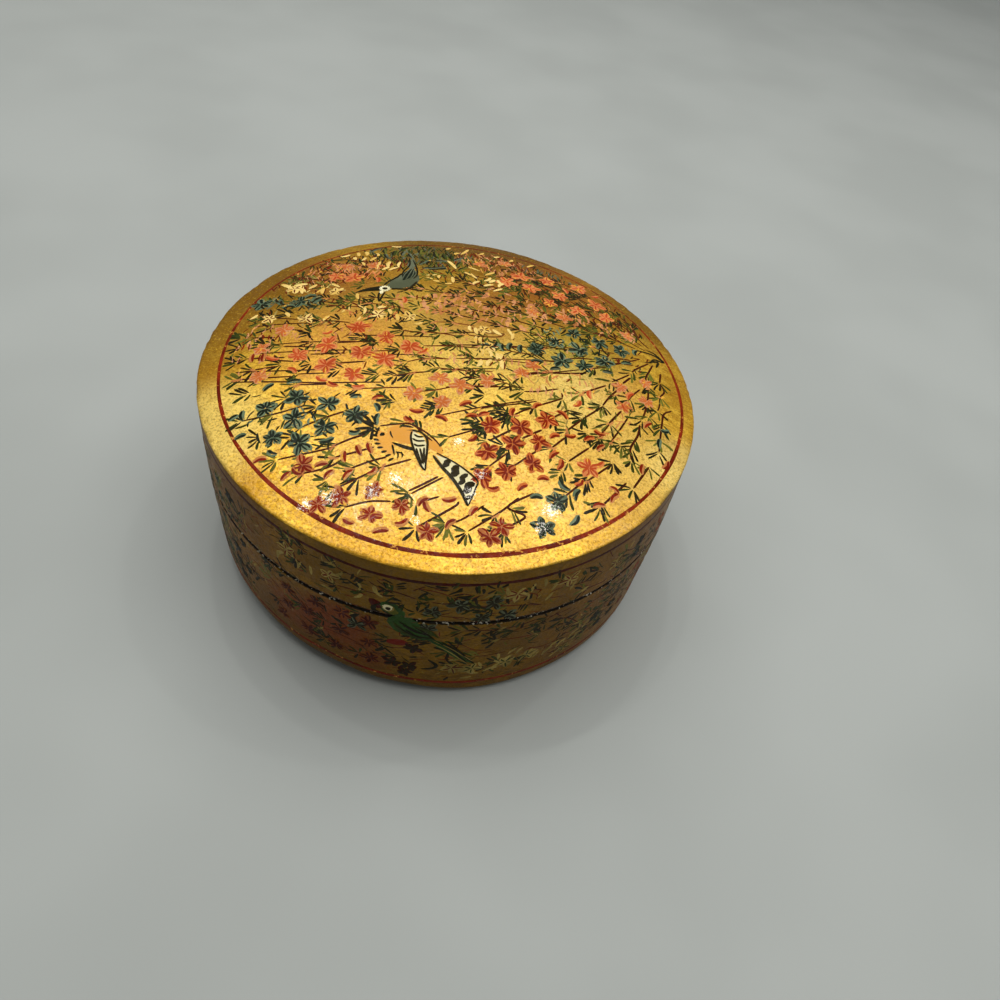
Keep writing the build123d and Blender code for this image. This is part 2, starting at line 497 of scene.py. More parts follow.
# %% A painter's pot of colour
def gouache(name, body, shade, worn=0.0, under="#d9a233"):
    """Gum-bound paint. worn is how much of it is rubbed down to the colour under it."""
    material, tree, place = new_material("gouache_" + name)
    loads = add(tree, NOISE, Vector=place, Scale=blotches(7), Detail=1)
    loaded = add(tree, RANGE, EASED, Value=(loads, "Fac"), From_Min=0.36, From_Max=0.64)
    colour = add(tree, MIX, COLOUR, i0=(loaded, 0), i6=body, i7=shade)
    streaks = add(tree, NOISE, Vector=place, Scale=blotches(0.5), Detail=2, Roughness=0.6)
    hairs = add(tree, RANGE, EASED, Value=(streaks, "Fac"), From_Min=0.35, From_Max=0.7, To_Max=0.6)
    colour = add(tree, MIX, COLOUR, i0=(hairs, 0), i6=(colour, 2), i7=shade)
    if worn:
        rubs = add(tree, NOISE, Vector=place, Scale=blotches(1.6), Detail=3, Roughness=0.7)
        rubbed = add(
            tree, RANGE, EASED, Value=(rubs, "Fac"), From_Min=0.62 - worn, From_Max=0.7 - worn
        )
        colour = add(tree, MIX, COLOUR, i0=(rubbed, 0), i6=(colour, 2), i7=under)
    # white specks in the patches in front: painted glints of the lamps on the lacquer
    colour = add(tree, MIX, COLOUR, i0=(painted_glints(tree, place), 0), i6=(colour, 2), i7="#f4ede0")
    rough = add(tree, RANGE, EASED, Value=(hairs, 0), To_Min=0.5, To_Max=0.66)
    bump = add(tree, BUMP, Strength=0.4, Distance=0.04 * MM, Height=(hairs, 0))
    shader = add(
        tree,
        PRINCIPLED,
        Base_Color=(colour, 2),
        Roughness=(rough, 0),
        Normal=(bump, 0),
        Specular_IOR_Level=0.06,
        Specular_Tint="#e8c07a",
        **lacquer_coat(tree, place, 0.02, 0.16),
    )
    add(tree, "ShaderNodeOutputMaterial", Surface=(shader, "BSDF"))
    return material


# %% The pots on the painter's bench: body colour, shade, and how worn
POTS = {
    "stem": gouache("stem_maroon", "#300c05", "#431405"),
    "twig": gouache("twig_brown", "#682408", "#481a06"),
    "ink": gouache("leaf_ink", "#141407", "#241e0a"),
    "leaf": gouache("leaf_green", "#384012", "#242c0a"),
    "moss": gouache("leaf_moss", "#6c6a24", "#4e4e18"),
    "teal": gouache("petal_teal", "#69785a", "#4f5e46", 0.04),
    "navy": gouache("line_navy", "#0e170f", "#151f14"),
    "coral": gouache("petal_coral", "#ce7d48", "#c06d3a", 0.07),
    "scarlet": gouache("line_scarlet", "#b64a22", "#a03c18"),
    "blush": gouache("petal_blush", "#c08248", "#ad6c38", 0.05),
    "rose": gouache("petal_rose", "#c98e60", "#b9784c", 0.06),
    "red": gouache("line_red", "#861f08", "#6a1606"),
    "vermilion": gouache("petal_vermilion", "#c4682f", "#ae5826", 0.05),
    "crimson": gouache("petal_crimson", "#b27040", "#9f5a30", 0.05),
    "cream": gouache("cream", "#e8ca7c", "#d2aa54", 0.03),
    "white": gouache("white", "#ece4bc", "#d8cd9c"),
    "peach": gouache("bird_peach", "#e0a044", "#d3923a"),
    "slate": gouache("bird_slate", "#636850", "#4c503a"),
    "ring": gouache("line_ring_red", "#86260a", "#5c1406", 0.03, "#c98a3a"),
    # straw is the cream darkened for the wall's strokes, as painted shade there; on the crown it is a colour
    # of its own
    "straw": gouache("straw", "#a58d4a", "#7c6932"),
    "maroon": gouache("line_maroon", "#4a0d05", "#360a04"),
    "rust": gouache("petal_rust", "#824519", "#68330d"),
    "parrot": gouache("bird_green", "#31521f", "#223a14"),
}
print(len(POTS), "pots of gouache")

# %% [markdown]
# ## Black lacquer
#
# Inside and underneath, the paper gets plain black lacquer in a few brushed coats. It is dark, smooth
# and shiny, with faint ridges left by the brush and a little dust in the corners. A plain black shader
# would look like plastic: the ridges and the dust are what make it look brushed.


# %% Brushed black lacquer
def black_lacquer():
    """Dark and glossy, with dust that dulls it and ridges that catch the light."""
    material, tree, place = new_material("brushed_black_lacquer")
    settled = add(tree, NOISE, Vector=place, Scale=blotches(6), Detail=4, Roughness=0.65)
    dust = add(tree, RANGE, EASED, Value=(settled, "Fac"), From_Min=0.45, From_Max=0.75, To_Max=0.35)
    colour = add(tree, MIX, COLOUR, i0=(dust, 0), i6="#0d0b0a", i7="#2b241e")
    ridges = add(tree, NOISE, Vector=place, Scale=blotches(1.4), Detail=2)
    rough = add(tree, RANGE, EASED, Value=(dust, 0), From_Max=0.35, To_Min=0.22, To_Max=0.4)
    bump = add(tree, BUMP, Strength=0.25, Distance=0.08 * MM, Height=(ridges, "Fac"))
    shader = add(
        tree,
        PRINCIPLED,
        Base_Color=(colour, 2),
        Roughness=(rough, 0),
        Normal=(bump, 0),
        Coat_Weight=0.6,
        Coat_Roughness=0.1,
    )
    add(tree, "ShaderNodeOutputMaterial", Surface=(shader, "BSDF"))
    return material


lacquer = black_lacquer()
print(len(lacquer.node_tree.nodes), "nodes in", lacquer.name)

# %% [markdown]
# ## The paper body
#
# Each pasted piece is a ring or a disc, which the workshop forms round a wooden mould. A Screw modifier
# could spin a profile, but every turn would be the same. Here each ring of points is asked for by its
# angle, so that the outer ones follow the hand-made outline above, and the inner ones the CAD sizes.
# Each mesh replaces its CAD node and keeps the node's place.

# %% A row of points every degree and a half
SECTORS = 240
SHARP_EDGE = radians(35)


def sector(angle):
    """The number of the row of points nearest to an angle."""
    return round(angle / (2 * pi) * SECTORS) % SECTORS


def swept(rings, finishes, palette, closed):
    """Points, faces and each face's finish, for rings of points joined one to the next."""
    points = [ring(2 * pi * k / SECTORS) * MM for ring in rings for k in range(SECTORS)]
    faces, finish_of = [], []
    last = len(rings) if closed else len(rings) - 1
    for row in range(last):
        here, there = row * SECTORS, (row + 1) % len(rings) * SECTORS
        for k in range(SECTORS):
            n = (k + 1) % SECTORS
            faces.append((here + k, here + n, there + n, there + k))
            finish_of.append(palette.index(finishes[row]))
    if not closed:
        faces.append(tuple(range(SECTORS - 1, -1, -1)))
        faces.append(tuple(range(last * SECTORS, (last + 1) * SECTORS)))
        finish_of += [palette.index(finishes[0]), palette.index(finishes[-1])]
    return points, faces, finish_of


print("points every", 360 / SECTORS, "degrees")


# %% A pasted piece, with its finishes, in its CAD node's place
def piece_from_rings(name, bands, closed, node, body):
    """bands are (rings, finish): rings are functions of the angle, and finish covers up to the next."""
    rings = [ring for band, finish in bands for ring in band]
    finishes = [finish for band, finish in bands for ring in band]
    palette = list(dict.fromkeys(finishes))
    points, faces, finish_of = swept(rings, finishes, palette, closed)
    mesh = bpy.data.meshes.new(name)
    mesh.from_pydata(points, [], faces)
    for finish in palette:
        mesh.materials.append(finish)
    mesh.polygons.foreach_set("material_index", finish_of)
    mesh.polygons.foreach_set("use_smooth", [True] * len(faces))
    mesh.set_sharp_from_angle(angle=SHARP_EDGE)
    mesh.update()
    made = put_in_scene(name, mesh)
    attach(made, body)
    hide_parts(node)
    print(name, len(faces), "faces")


# %% Rings for the inside, the wall and the foot
def turned_ring(radius, z):
    """A true round, for the inside and the underside."""
    return lambda angle: on_axis(radius, angle, z)


def wall_ring(z):
    """A ring of the hand-made outer wall."""
    return lambda angle: on_axis(wall_radius(angle, z), angle, z)


def foot_ring(share):
    """One ring of the rounded foot; share runs from 0 where it starts to 1 where it meets the table."""

    def ring(angle):
        rounding = around(FOOT_ROUNDINGS, angle * 180 / pi)
        z = rounding * (1 - sin(share * pi / 2))
        return on_axis(wall_radius(angle, z), angle, z)

    return ring


print("the foot starts at", round(foot_ring(0)(-pi / 2).z, 1), "mm in front")


# %% Rings for the two mouths, which the saw and years of use have chipped
def chipped(z, depth, seed):
    """The mouth's edge: rounded by depth, and chipped here and there."""
    chips = random.Random(seed)
    bites = [max(0.0, chips.gauss(-0.25, 0.35)) for _ in range(SECTORS)]

    def ring(angle):
        radius = wall_radius(angle, z) - (depth + 0.6 * bites[sector(angle)])
        return on_axis(radius, angle, z)

    return ring


print("the base's mouth starts at", [round(v, 2) for v in chipped(34.12, 0.7, 13)(0)])

# %% The base's wall, with a ledge at its foot for the floor
INNER_RADIUS = 60.0
LEDGE_RADIUS = 52.0
FLOOR_TOP = 3.2
foot = [foot_ring(1 - k / 10) for k in range(11)]
side = [wall_ring(9 + 24.0 * k / 20) for k in range(21)]
side += [wall_ring(33.4), chipped(33.75, 0.08, 11), chipped(34.0, 0.3, 12)]
mouth = [chipped(34.12, 0.7, 13), turned_ring(INNER_RADIUS, 34.12), turned_ring(INNER_RADIUS, FLOOR_TOP)]
bands = [
    ([turned_ring(LEDGE_RADIUS, 0.0)], lacquer),
    (foot + side, wall_gold_painted_shade),
    (mouth + [turned_ring(LEDGE_RADIUS, 3.15)], lacquer),
]
piece_from_rings("base_wall_gilt", bands, True, "base_wall", "base")

# %% The base's floor, a board with a rebate that sits on the ledge
board = [turned_ring(r, 0.02) for r in (2, 20, 51)]
board += [turned_ring(r, 3.0) for r in (51, 59.98)]
board += [turned_ring(r, FLOOR_TOP) for r in (59.98, 58, 40, 20, 2)]
piece_from_rings("base_floor_board", [(board, lacquer)], False, "base_floor", "base")

# %% The lid's wall
mouth = [turned_ring(INNER_RADIUS, 34.24), chipped(34.24, 0.75, 21)]
side = [chipped(34.38, 0.28, 22), chipped(34.65, 0.06, 23), wall_ring(35.0)]
side += [wall_ring(35.4 + 14.4 * k / 12) for k in range(13)]
seat = [turned_ring(INNER_RADIUS, CROWN_SEAT_HEIGHT)]
bands = [(mouth, lacquer), (side, wall_gold_painted_shade), (seat, lacquer)]
piece_from_rings("lid_wall_gilt", bands, True, "lid_wall", "lid")

# %% Rings for the crown and its nicked rim
nicks = random.Random(5)
rim_nicks = [max(0.0, nicks.gauss(0.0, 0.16)) for _ in range(SECTORS)]


def crown_ring(radius):
    return lambda angle: on_crown(radius * cos(angle), radius * sin(angle))


def rim_ring(inward, drop, nicked=0.0):
    """A ring of the rounded rim: inward mm from its edge, drop mm down, and nicked by a share."""

    def ring(angle):
        outward = wall_radius(angle, 52.6) - RIM_RADIUS
        bite = nicked * rim_nicks[sector(angle)]
        point = crown_ring(RIM_RADIUS - inward)(angle)
        point += on_axis(outward if inward < 0.5 else 0, angle, 0)
        point -= on_axis(bite * 0.6, angle, 0)
        point.z -= drop + bite
        return point

    return ring


print("deepest nick in the rim:", round(max(rim_nicks), 2), "mm")

# %% The lid's crown: hollow under it, a skirt down its side, and the dome
UNDERSIDE = ((2, 55.6), (32, 55.6), (56, 48.3), (59.9, 48.3), (60, CROWN_SEAT_HEIGHT))
under = [turned_ring(radius, z) for radius, z in UNDERSIDE]
skirt = [wall_ring(z) for z in (CROWN_SEAT_HEIGHT, 50.6, 51.4, 52.0)]
dome = [rim_ring(0.0, 0.2, 0.9), rim_ring(0.05, 0.07, 0.8), rim_ring(0.2, 0.015, 0.5), rim_ring(0.5, 0.0)]
dome += [crown_ring(r) for r in (61.5, 60.5, 59.5)]
dome += [crown_ring(58.5 - 1.5 * k) for k in range(39)]
bands = [(under, lacquer), (skirt, wall_gold_painted_shade), (dome, crown_gold)]
piece_from_rings("lid_crown_gilt", bands, False, "lid_crown", "lid")

# %% The collar keeps its CAD shape and gets the lacquer
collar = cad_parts["collar"]
collar.data.materials.clear()
collar.data.materials.append(lacquer)
print("collar:", len(collar.data.polygons), "faces from the CAD")

# %% [markdown]
# ## Brush strokes
#
# Each stroke is what a pointed brush leaves: a low ridge of paint, thin where the brush lands and lifts,
# wide where it is pressed. A curve with a bevel could draw it, but it would be as thick as it is wide,
# and it would not lie on a dome. So each stroke is a thin mesh that follows the painted surface, with its
# edges in the gold and its middle some hundredths of a millimetre higher, as real gouache is.


# %% A smooth path through a few points
STEP = 0.5


def smooth_path(points):
    """Points about STEP mm apart on a smooth curve through the given ones."""
    if len(points) == 2:
        points = [points[0], [(a + b) / 2 for a, b in zip(*points)], points[1]]
    ends = [[2 * points[0][i] - points[1][i] for i in (0, 1)]]
    ends += [[2 * points[-1][i] - points[-2][i] for i in (0, 1)]]
    posts = [ends[0], *points, ends[1]]

    def between(a, b, c, d, t):
        square = (2 * a - 5 * b + 4 * c - d) * t * t
        cube = (3 * b - a - 3 * c + d) * t**3
        return 0.5 * (2 * b + (c - a) * t + square + cube)

    path = []
    for a, b, c, d in zip(posts, posts[1:], posts[2:], posts[3:]):
        count = max(2, ceil(hypot(c[0] - b[0], c[1] - b[1]) / STEP))
        for k in range(count):
            path.append([between(a[i], b[i], c[i], d[i], k / count) for i in (0, 1)])
    path.append(list(points[-1]))
    return path


print("a straight stroke of 10 mm has", len(smooth_path([(0, 0), (10, 0)])), "points")


# %% How wide the stroke is at each point
def pressure(t, landing, lifting):
    """How hard the brush presses along the stroke, 0 to 1. Small powers give an even line."""
    peak = landing / (landing + lifting)
    top = peak**landing * (1 - peak) ** lifting
    return t**landing * (1 - t) ** lifting / top


def half_width(width, t, landing, lifting):
    """Half the stroke's width at a share t of its length, from one width or from several."""
    if isinstance(width, (list, tuple)):
        spot = t * (len(width) - 1)
        k = min(int(spot), len(width) - 2)
        return (width[k] + (width[k + 1] - width[k]) * (spot - k)) / 2
    return width / 2 * pressure(t, landing, lifting)


print("pressure at the middle of a petal:", round(pressure(0.5, 0.55, 0.4), 2))

# %% One brush stroke, laid into the strokes of its colour
# paint settles to this share of the height it is laid at, and its edges sink a little into the gold
LEVELLED = 0.55
EDGE_SINK = 0.008
# a stroke wider than this many mm has five points across, and the others three
WIDE_STROKE = 1.1
WIDE_ROW = (-1, -0.5, 0, 0.5, 1)
NARROW_ROW = (-1, 0, 1)
SEAM_GAP = 0.45
strokes = {}


def clear_of_seam(path, layer):
    """The part of a path that stays on its own side of the seam."""
    if layer == "lid_wall":
        return [(u, v) for u, v in path if v > SEAM_HEIGHT + SEAM_GAP]
    if layer == "base_wall":
        return [(u, v) for u, v in path if v < SEAM_HEIGHT - SEAM_GAP]
    return path


def joined(row, next_row):
    """The faces between two rows of points; a row of one point is the stroke's tip."""
    if len(row) == 1:
        return [(row[0], b, a) for a, b in zip(next_row, next_row[1:])]
    if len(next_row) == 1:
        return [(a, b, next_row[0]) for a, b in zip(row, row[1:])]
    return [(a, b, d, c) for a, b, c, d in zip(row, row[1:], next_row, next_row[1:])]


def brush(where, pot, points, width, lift=0.07, landing=0.3, lifting=0.3, base=0.0):
    """Lays one stroke. where is (surface, layer); width is one value, or several along the stroke."""
    surface, layer = where
    vertices, faces = strokes.setdefault((layer, pot), ([], []))
    path = clear_of_seam(smooth_path(points), layer)
    if len(path) < 3:
        return
    widest = max(width) if isinstance(width, (list, tuple)) else width
    shares = WIDE_ROW if widest > WIDE_STROKE else NARROW_ROW
    last = len(path) - 1
    row_before = None
    for n, (u, v) in enumerate(path):
        row = []
        if n in (0, last):
            vertices.append(surface(u, v, base * LEVELLED) * MM)
            row.append(len(vertices) - 1)
        else:
            du, dv = path[n + 1][0] - path[n - 1][0], path[n + 1][1] - path[n - 1][1]
            length = hypot(du, dv) or 1.0
            half = half_width(width, n / last, landing, lifting)
            for s in shares:
                rise = LEVELLED * (base + lift * (1 - s * s)) if abs(s) < 1 else LEVELLED * base - EDGE_SINK
                vertices.append(surface(u - dv / length * half * s, v + du / length * half * s, rise) * MM)
                row.append(len(vertices) - 1)
        if row_before:
            faces += joined(row_before, row)
        row_before = row


CROWN = (on_crown, "crown")
LID = (on_wall, "lid_wall")
BASE = (on_wall, "base_wall")
print("strokes end", SEAM_GAP, "mm short of the seam")

# %% [markdown]
# ## The painter's vocabulary
#
# A bazaar painter builds a whole garden from a few moves of the wrist: a long stem, a whisk of short
# leaves where it forks, a five-petalled flower with dark veins, and single dabs for buds. Naming those
# moves as functions lets the picture below be a list of where each one goes. The moves are a little
# different each time, as a hand's are, but the seed makes them the same in every run.

# %% One step from a point, and a dab
hand = random.Random(7427)


def turn(u, v, angle, reach):
    """The place reach mm from (u, v), at an angle in radians."""
    return (u + reach * cos(angle), v + reach * sin(angle))


def dab(where, pot, u, v, degrees, length, width, lift=0.08, bend=0.0, base=0.0):
    """A single petal, pressed hardest past its middle. bend curls it into a crescent."""
    angle = radians(degrees)
    start, end = turn(u, v, angle + pi, length / 2), turn(u, v, angle, length / 2)
    middle = turn(u, v, angle + pi / 2, bend)
    brush(where, pot, [start, middle, end], width, lift, 0.55, 0.4, base)


print("a step of 4 mm away from (3, 0) ends at", [round(c, 1) for c in turn(3, 0, pi / 2, 4)])


# %% A whisk of leaves
FAN_OPENING = 1.9


def whisk(where, u, v, degrees, pots, count=5, reach=3.4, spread=33):
    """Leaves at a stem's end, fat at their tips: one open fan, or two little ones to the sides."""
    open_fan = hand.random() < 0.5
    for k in range(count):
        pair, side = k // 2, 1 if k % 2 else -1
        if open_fan:
            angle = radians(degrees + spread * FAN_OPENING * (2 * k / (count - 1) - 1) + hand.uniform(-9, 9))
            root = turn(u, v, angle, hand.uniform(0.2, 0.7))
        else:
            root = turn(u, v, radians(degrees), 0.3 - 0.8 * pair + hand.uniform(-0.2, 0.2))
            angle = radians(degrees + side * (spread + 7 * pair + hand.uniform(-9, 9)))
            root = turn(*root, angle, 0.25)
        long = reach * hand.uniform(0.72, 1.15)
        bow = turn(*turn(*root, angle, long * 0.5), angle + pi / 2, hand.uniform(-0.2, 0.2))
        tip = turn(*root, angle, long)
        brush(where, hand.choice(pots), [root, bow, tip], hand.uniform(0.55, 0.95), 0.07, 0.55, 0.24)


print("an open whisk spreads over", round(2 * FAN_OPENING * 33), "degrees")


# %% A flower of five petals
PETAL = [0.3, 0.62, 0.92, 1.0, 0.72, 0]


def flower(where, pot, line, u, v, size, plump=0.66, veins=2):
    """Five loose petals round an eye, pale bodies first, then darker strokes from the eye out."""
    first = hand.uniform(0, 72)
    for k in range(5):
        angle = radians(first + 72 * k + hand.uniform(-15, 15))
        long = size * hand.uniform(0.74, 1.14)
        wide = size * plump * hand.uniform(0.78, 1.15)
        path = [turn(u, v, angle, -0.2), turn(u, v, angle + 0.05, long * 0.6), turn(u, v, angle, long)]
        brush(where, pot, path, [wide * share for share in PETAL], 0.08, base=0.05)
        for vein in range(veins):
            aside = (vein - (veins - 1) / 2) * 0.26 * size + hand.uniform(-0.1, 0.1) * size
            eye = turn(u, v, angle, hand.uniform(0, 0.3))
            belly = turn(*turn(u, v, angle, long * 0.5), angle + pi / 2, aside)
            tip = turn(*turn(u, v, angle, long * hand.uniform(0.72, 1.0)), angle + pi / 2, aside * 0.7)
            brush(where, line, [eye, belly, tip], size * hand.uniform(0.13, 0.22), 0.06, 0.3, 0.3, 0.13)


print("a petal is widest at", PETAL.index(max(PETAL)) / (len(PETAL) - 1), "of its length")


# %% Buds, and ladders of upright bars
def bud(pot, line, u, v, degrees, length, bend):
    """A loose petal on the crown: a wide pale crescent, and a narrow dark one a little beside it."""
    dab(CROWN, pot, u, v, degrees, length, 1.4, bend=bend, base=0.05)
    side = turn(u, v, radians(degrees) + pi / 2, hand.choice((-0.25, 0.25)))
    dab(CROWN, line, *side, degrees + hand.uniform(-8, 8), length * 0.92, 0.75, 0.06, bend, 0.13)


RUNG_GAP = 1.7
RUNG_HEIGHT = 2.7


def ladder(u, v, degrees, pot, rungs):
    """Upright bars in a row across a twig, the painter's quickest blossom."""
    for k in range(rungs):
        place = turn(u, v, radians(degrees), RUNG_GAP * (k - (rungs - 1) / 2) + hand.uniform(-0.2, 0.2))
        tilt = degrees + 90 + hand.uniform(-14, 14)
        long = RUNG_HEIGHT * hand.uniform(0.8, 1.15)
        dab(CROWN, pot, *place, tilt, long, 0.55, 0.07, hand.uniform(-0.3, 0.3))


print("a ladder of three bars is", 2 * RUNG_GAP, "mm wide")


# %% A thicket of small strokes
GARDEN_RADIUS = 56.5


def thicket(zone, pots, count, degrees, sway, length, width=0.5):
    """Many small strokes in an oval (middle u, middle v, half width, half height)."""
    for _ in range(count):
        spot, out = hand.uniform(0, 2 * pi), sqrt(hand.random())
        u, v = zone[0] + zone[2] * out * cos(spot), zone[1] + zone[3] * out * sin(spot)
        if hypot(u, v) > GARDEN_RADIUS:
            continue
        aim = degrees + hand.uniform(-sway, sway)
        long = length * hand.uniform(0.6, 1.3)
        pot = hand.choice(pots)
        wide = width * hand.uniform(0.75, 1.35)
        dab(CROWN, pot, u, v, aim, long, wide, 0.055, hand.uniform(-0.3, 0.3))


print("the garden ends", RIM_RADIUS - GARDEN_RADIUS, "mm inside the rim")


# %% A stem with leaves along it
LEAF_MIXES = (("ink", "leaf", "ink"), ("leaf", "moss", "moss"), ("moss", "leaf", "ink"))


def stem(where, points, pot, width, every=9.0, reach=3.2, petal="blush"):
    """A thin line, with leaves where it ends and others along it, and a pale petal at some forks."""
    brush(where, pot, points, width * hand.uniform(0.85, 1.15), 0.06, 0.1, 0.14)
    runs = [hypot(b[0] - a[0], b[1] - a[1]) for a, b in zip(points, points[1:])]
    knots = max(1, round(sum(runs) / every))
    for k in range(1, knots + 1):
        along = sum(runs) * k / knots
        for (a, b), run in zip(zip(points, points[1:]), runs):
            if along <= run + 0.01:
                share = along / run
                place = (a[0] + (b[0] - a[0]) * share, a[1] + (b[1] - a[1]) * share)
                aim = atan2(b[1] - a[1], b[0] - a[0]) * 180 / pi
                if hand.random() < 0.3:
                    dab(where, petal, *place, aim + hand.uniform(-50, 50), 2.8, 1.1, 0.06, 0.2)
                leaves = hand.choice(LEAF_MIXES)
                whisk(where, *place, aim, leaves, hand.choice((4, 4, 5, 6)), reach)
                break
            along -= run


print(len(LEAF_MIXES), "mixes of leaf colours")

# %% [markdown]
# ## The crown's garden
#
# One root by the rim, to the right, sends its stems fanwise over the whole lid. The places could be left
# to chance, but this garden is laid out in a list, so each stem is set down one by one. Distances are in
# millimetres from the middle of the crown, x to the right and y away from the viewer.

# %% The root, a fat knot by the rim
ROOT_PLACE = (54, 20.5)
ROOT = [
    [(54.6, 20.3), (51.5, 22), (47.5, 21.6), (44.5, 20.4)],
    [(52.8, 19.8), (51, 18.6), (49.5, 17.2)],
    [(54.4, 20.2), (51.5, 20), (50.2, 17.4)],
    [(52.8, 19.6), (52, 16.4)],
    [(54.6, 20.5), (51.5, 23), (49, 23.3)],
]
for points in ROOT:
    brush(CROWN, "ink", points, 0.85, 0.09, 0.2, 0.4)
print(len(ROOT), "strokes in the root at", ROOT_PLACE)

# %% Stems on the right
RIGHT_STEMS = [
    [(49.8, 17), (46.5, 12.5), (45, 10)],
    [(51, 17), (50, 13.5), (49, 9.5), (49.7, 6)],
    [(49.8, 5.5), (49.8, 2), (49.3, -3), (48.5, -7)],
    [(53.3, 14.5), (53, 10)],
    [(53, 10), (54.3, 7), (53.2, 4), (53, 0.5), (52.5, -1.8)],
    [(56.5, 0.5), (54.3, -2), (53.8, -6), (53.5, -11), (53.3, -16)],
    [(48, -9), (47.6, -13), (46, -18), (46.5, -21.5)],
    [(44.5, 8.7), (42, 5.5), (39.7, 3)],
    [(38.5, 1), (35, -2.5), (32.3, -5.3)],
    [(44.8, 7.5), (42.7, 3.8)],
    [(47.6, 4.2), (45.5, 0.5), (44.5, -2)],
    [(42, 1.6), (39.6, -3), (38, -7)],
    [(38.3, -7), (33.5, -13.7)],
    [(33.5, -13.7), (30, -19.2)],
    [(43, -6.4), (40.3, -12), (38, -18)],
    [(44.8, -8), (43, -13), (41, -18)],
    [(44.5, 15.2), (42, 14.3), (39, 13)],
    [(45.5, 13.4), (41, 11.6), (39, 9.5)],
    [(39.5, 9.3), (34, 5.6)],
    [(34.5, 9.8), (31, 8.6), (27.6, 6.8)],
    [(29, 11), (25, 10), (22, 9.4), (20.8, 8)],
    [(33, 3.2), (28.5, 1), (24, -1)],
    [(22.5, -1.5), (19.5, -2.8), (17, -5)],
    [(30, -12), (26.2, -16.4)],
    [(28, -8.8), (25, -11.5), (21.5, -14.5)],
    [(21.3, -15), (19.5, -16.3), (17.2, -18.8)],
    [(26.5, -6), (22, -8.8), (18.2, -10.4)],
    [(25.4, 4.4), (21.2, 3)],
    [(22, -12.4), (17, -15.3), (12.5, -17.5), (8.6, -19.8)],
    [(51, -21.5), (47.5, -29.5)],
    [(45.8, -28.5), (40.3, -37.5)],
    [(42, -24.5), (36.3, -32)],
    [(36, -22), (31.5, -28)],
    [(30, -21.2), (27.2, -25.5)],
    [(36, -31.7), (32, -37.5)],
    [(24.3, -21), (20, -25.3)],
    [(24, -27.5), (19, -34)],
    [(25, -39), (20, -44), (24, -45.3), (20.5, -49)],
]
for points in RIGHT_STEMS:
    stem(CROWN, points, "stem", 0.68, 7.5, 3.7)
print(len(RIGHT_STEMS), "stems on the right")

# %% Stems in the middle and at the back
MIDDLE_STEMS = [
    [(40, 15.6), (36, 15), (33.5, 15.6)],
    [(2.6, 10.3), (-4, 9.7), (-8, 8.5)],
    [(10.5, 10), (9, 8), (5, 6.5), (0.5, 5.6)],
    [(-1, 4.4), (-5, 4.3), (-9.5, 3.6)],
    [(-9.8, 3), (-15, 2.8)],
    [(-28, 10.6), (-33, 10.2), (-39, 10)],
    [(-15, 12.4), (-22, 12.9), (-31, 12.8), (-38, 13.2)],
    [(-15, 16.6), (-22, 16.4), (-30, 15.2)],
    [(15, 5.5), (10, 4.8), (6, 3.4)],
    [(5, 1.5), (-1, 0.1), (-5, -1), (-8.5, -2)],
    [(17.5, 0.4), (12, -1), (4.6, -3.2)],
    [(10, -6), (3.5, -8), (-4, -9.2)],
    [(-1, -5), (-7, -6.6), (-11, -9)],
    [(-13.5, -5.3), (-19.5, -6.8)],
    [(-10, -10.5), (-16, -11)],
    [(-4.5, -10.7), (-10, -13), (-13, -14.6)],
    [(12, -10.7), (6, -12.8)],
    [(2, -14), (-2, -16.5), (-6, -18.2)],
    [(-7, -17), (-13, -18.6), (-20, -20.5)],
    [(0, 31), (-4, 32), (-9, 34.4)],
    [(22, 33), (17, 35.6), (12, 35)],
    [(20, 39), (14, 41.5), (4, 40.5)],
    [(26, 31.6), (20, 34)],
    [(35, 35.6), (30, 34.8), (26, 36)],
    [(43, 22), (38, 23.6), (34, 22.2), (28, 23.2)],
    [(50, 24.5), (46.5, 28), (45, 32)],
    [(43, 30), (38, 31.2)],
    [(47, 28), (44.5, 33.5), (41, 37)],
    [(28, 45), (22, 47), (16, 48)],
    [(12, 48), (6, 49.5), (0, 49)],
    [(34, 41), (28, 42.5)],
]
for points in MIDDLE_STEMS:
    stem(CROWN, points, "twig", 0.55, 5.6, 3.0)
print(len(MIDDLE_STEMS), "stems in the middle and at the back")

# %% A net of long, leafy stems across the middle
NET_STEMS = [
    [(49, 22.6), (38, 25.6), (26, 28), (12, 30), (-2, 32)],
    [(46, 21.8), (34, 23), (20, 24.8), (6, 26.4), (-8, 28)],
    [(26, 20.6), (12, 21.6), (-2, 22.8), (-15, 24)],
    [(24, 17), (8, 17.6), (-6, 18.2), (-16, 19)],
    [(25, 13.4), (12, 13.4), (-2, 13.8), (-13, 14.4)],
    [(48, 24.6), (38, 29.4), (26, 33.6), (14, 38.6)],
    [(46, 29), (36, 35.4), (26, 40.6), (14, 44.4)],
]
for points in NET_STEMS:
    stem(CROWN, points, "stem", 0.6, 5.4, 3.1, "rose")
print(len(NET_STEMS), "long stems in the net")

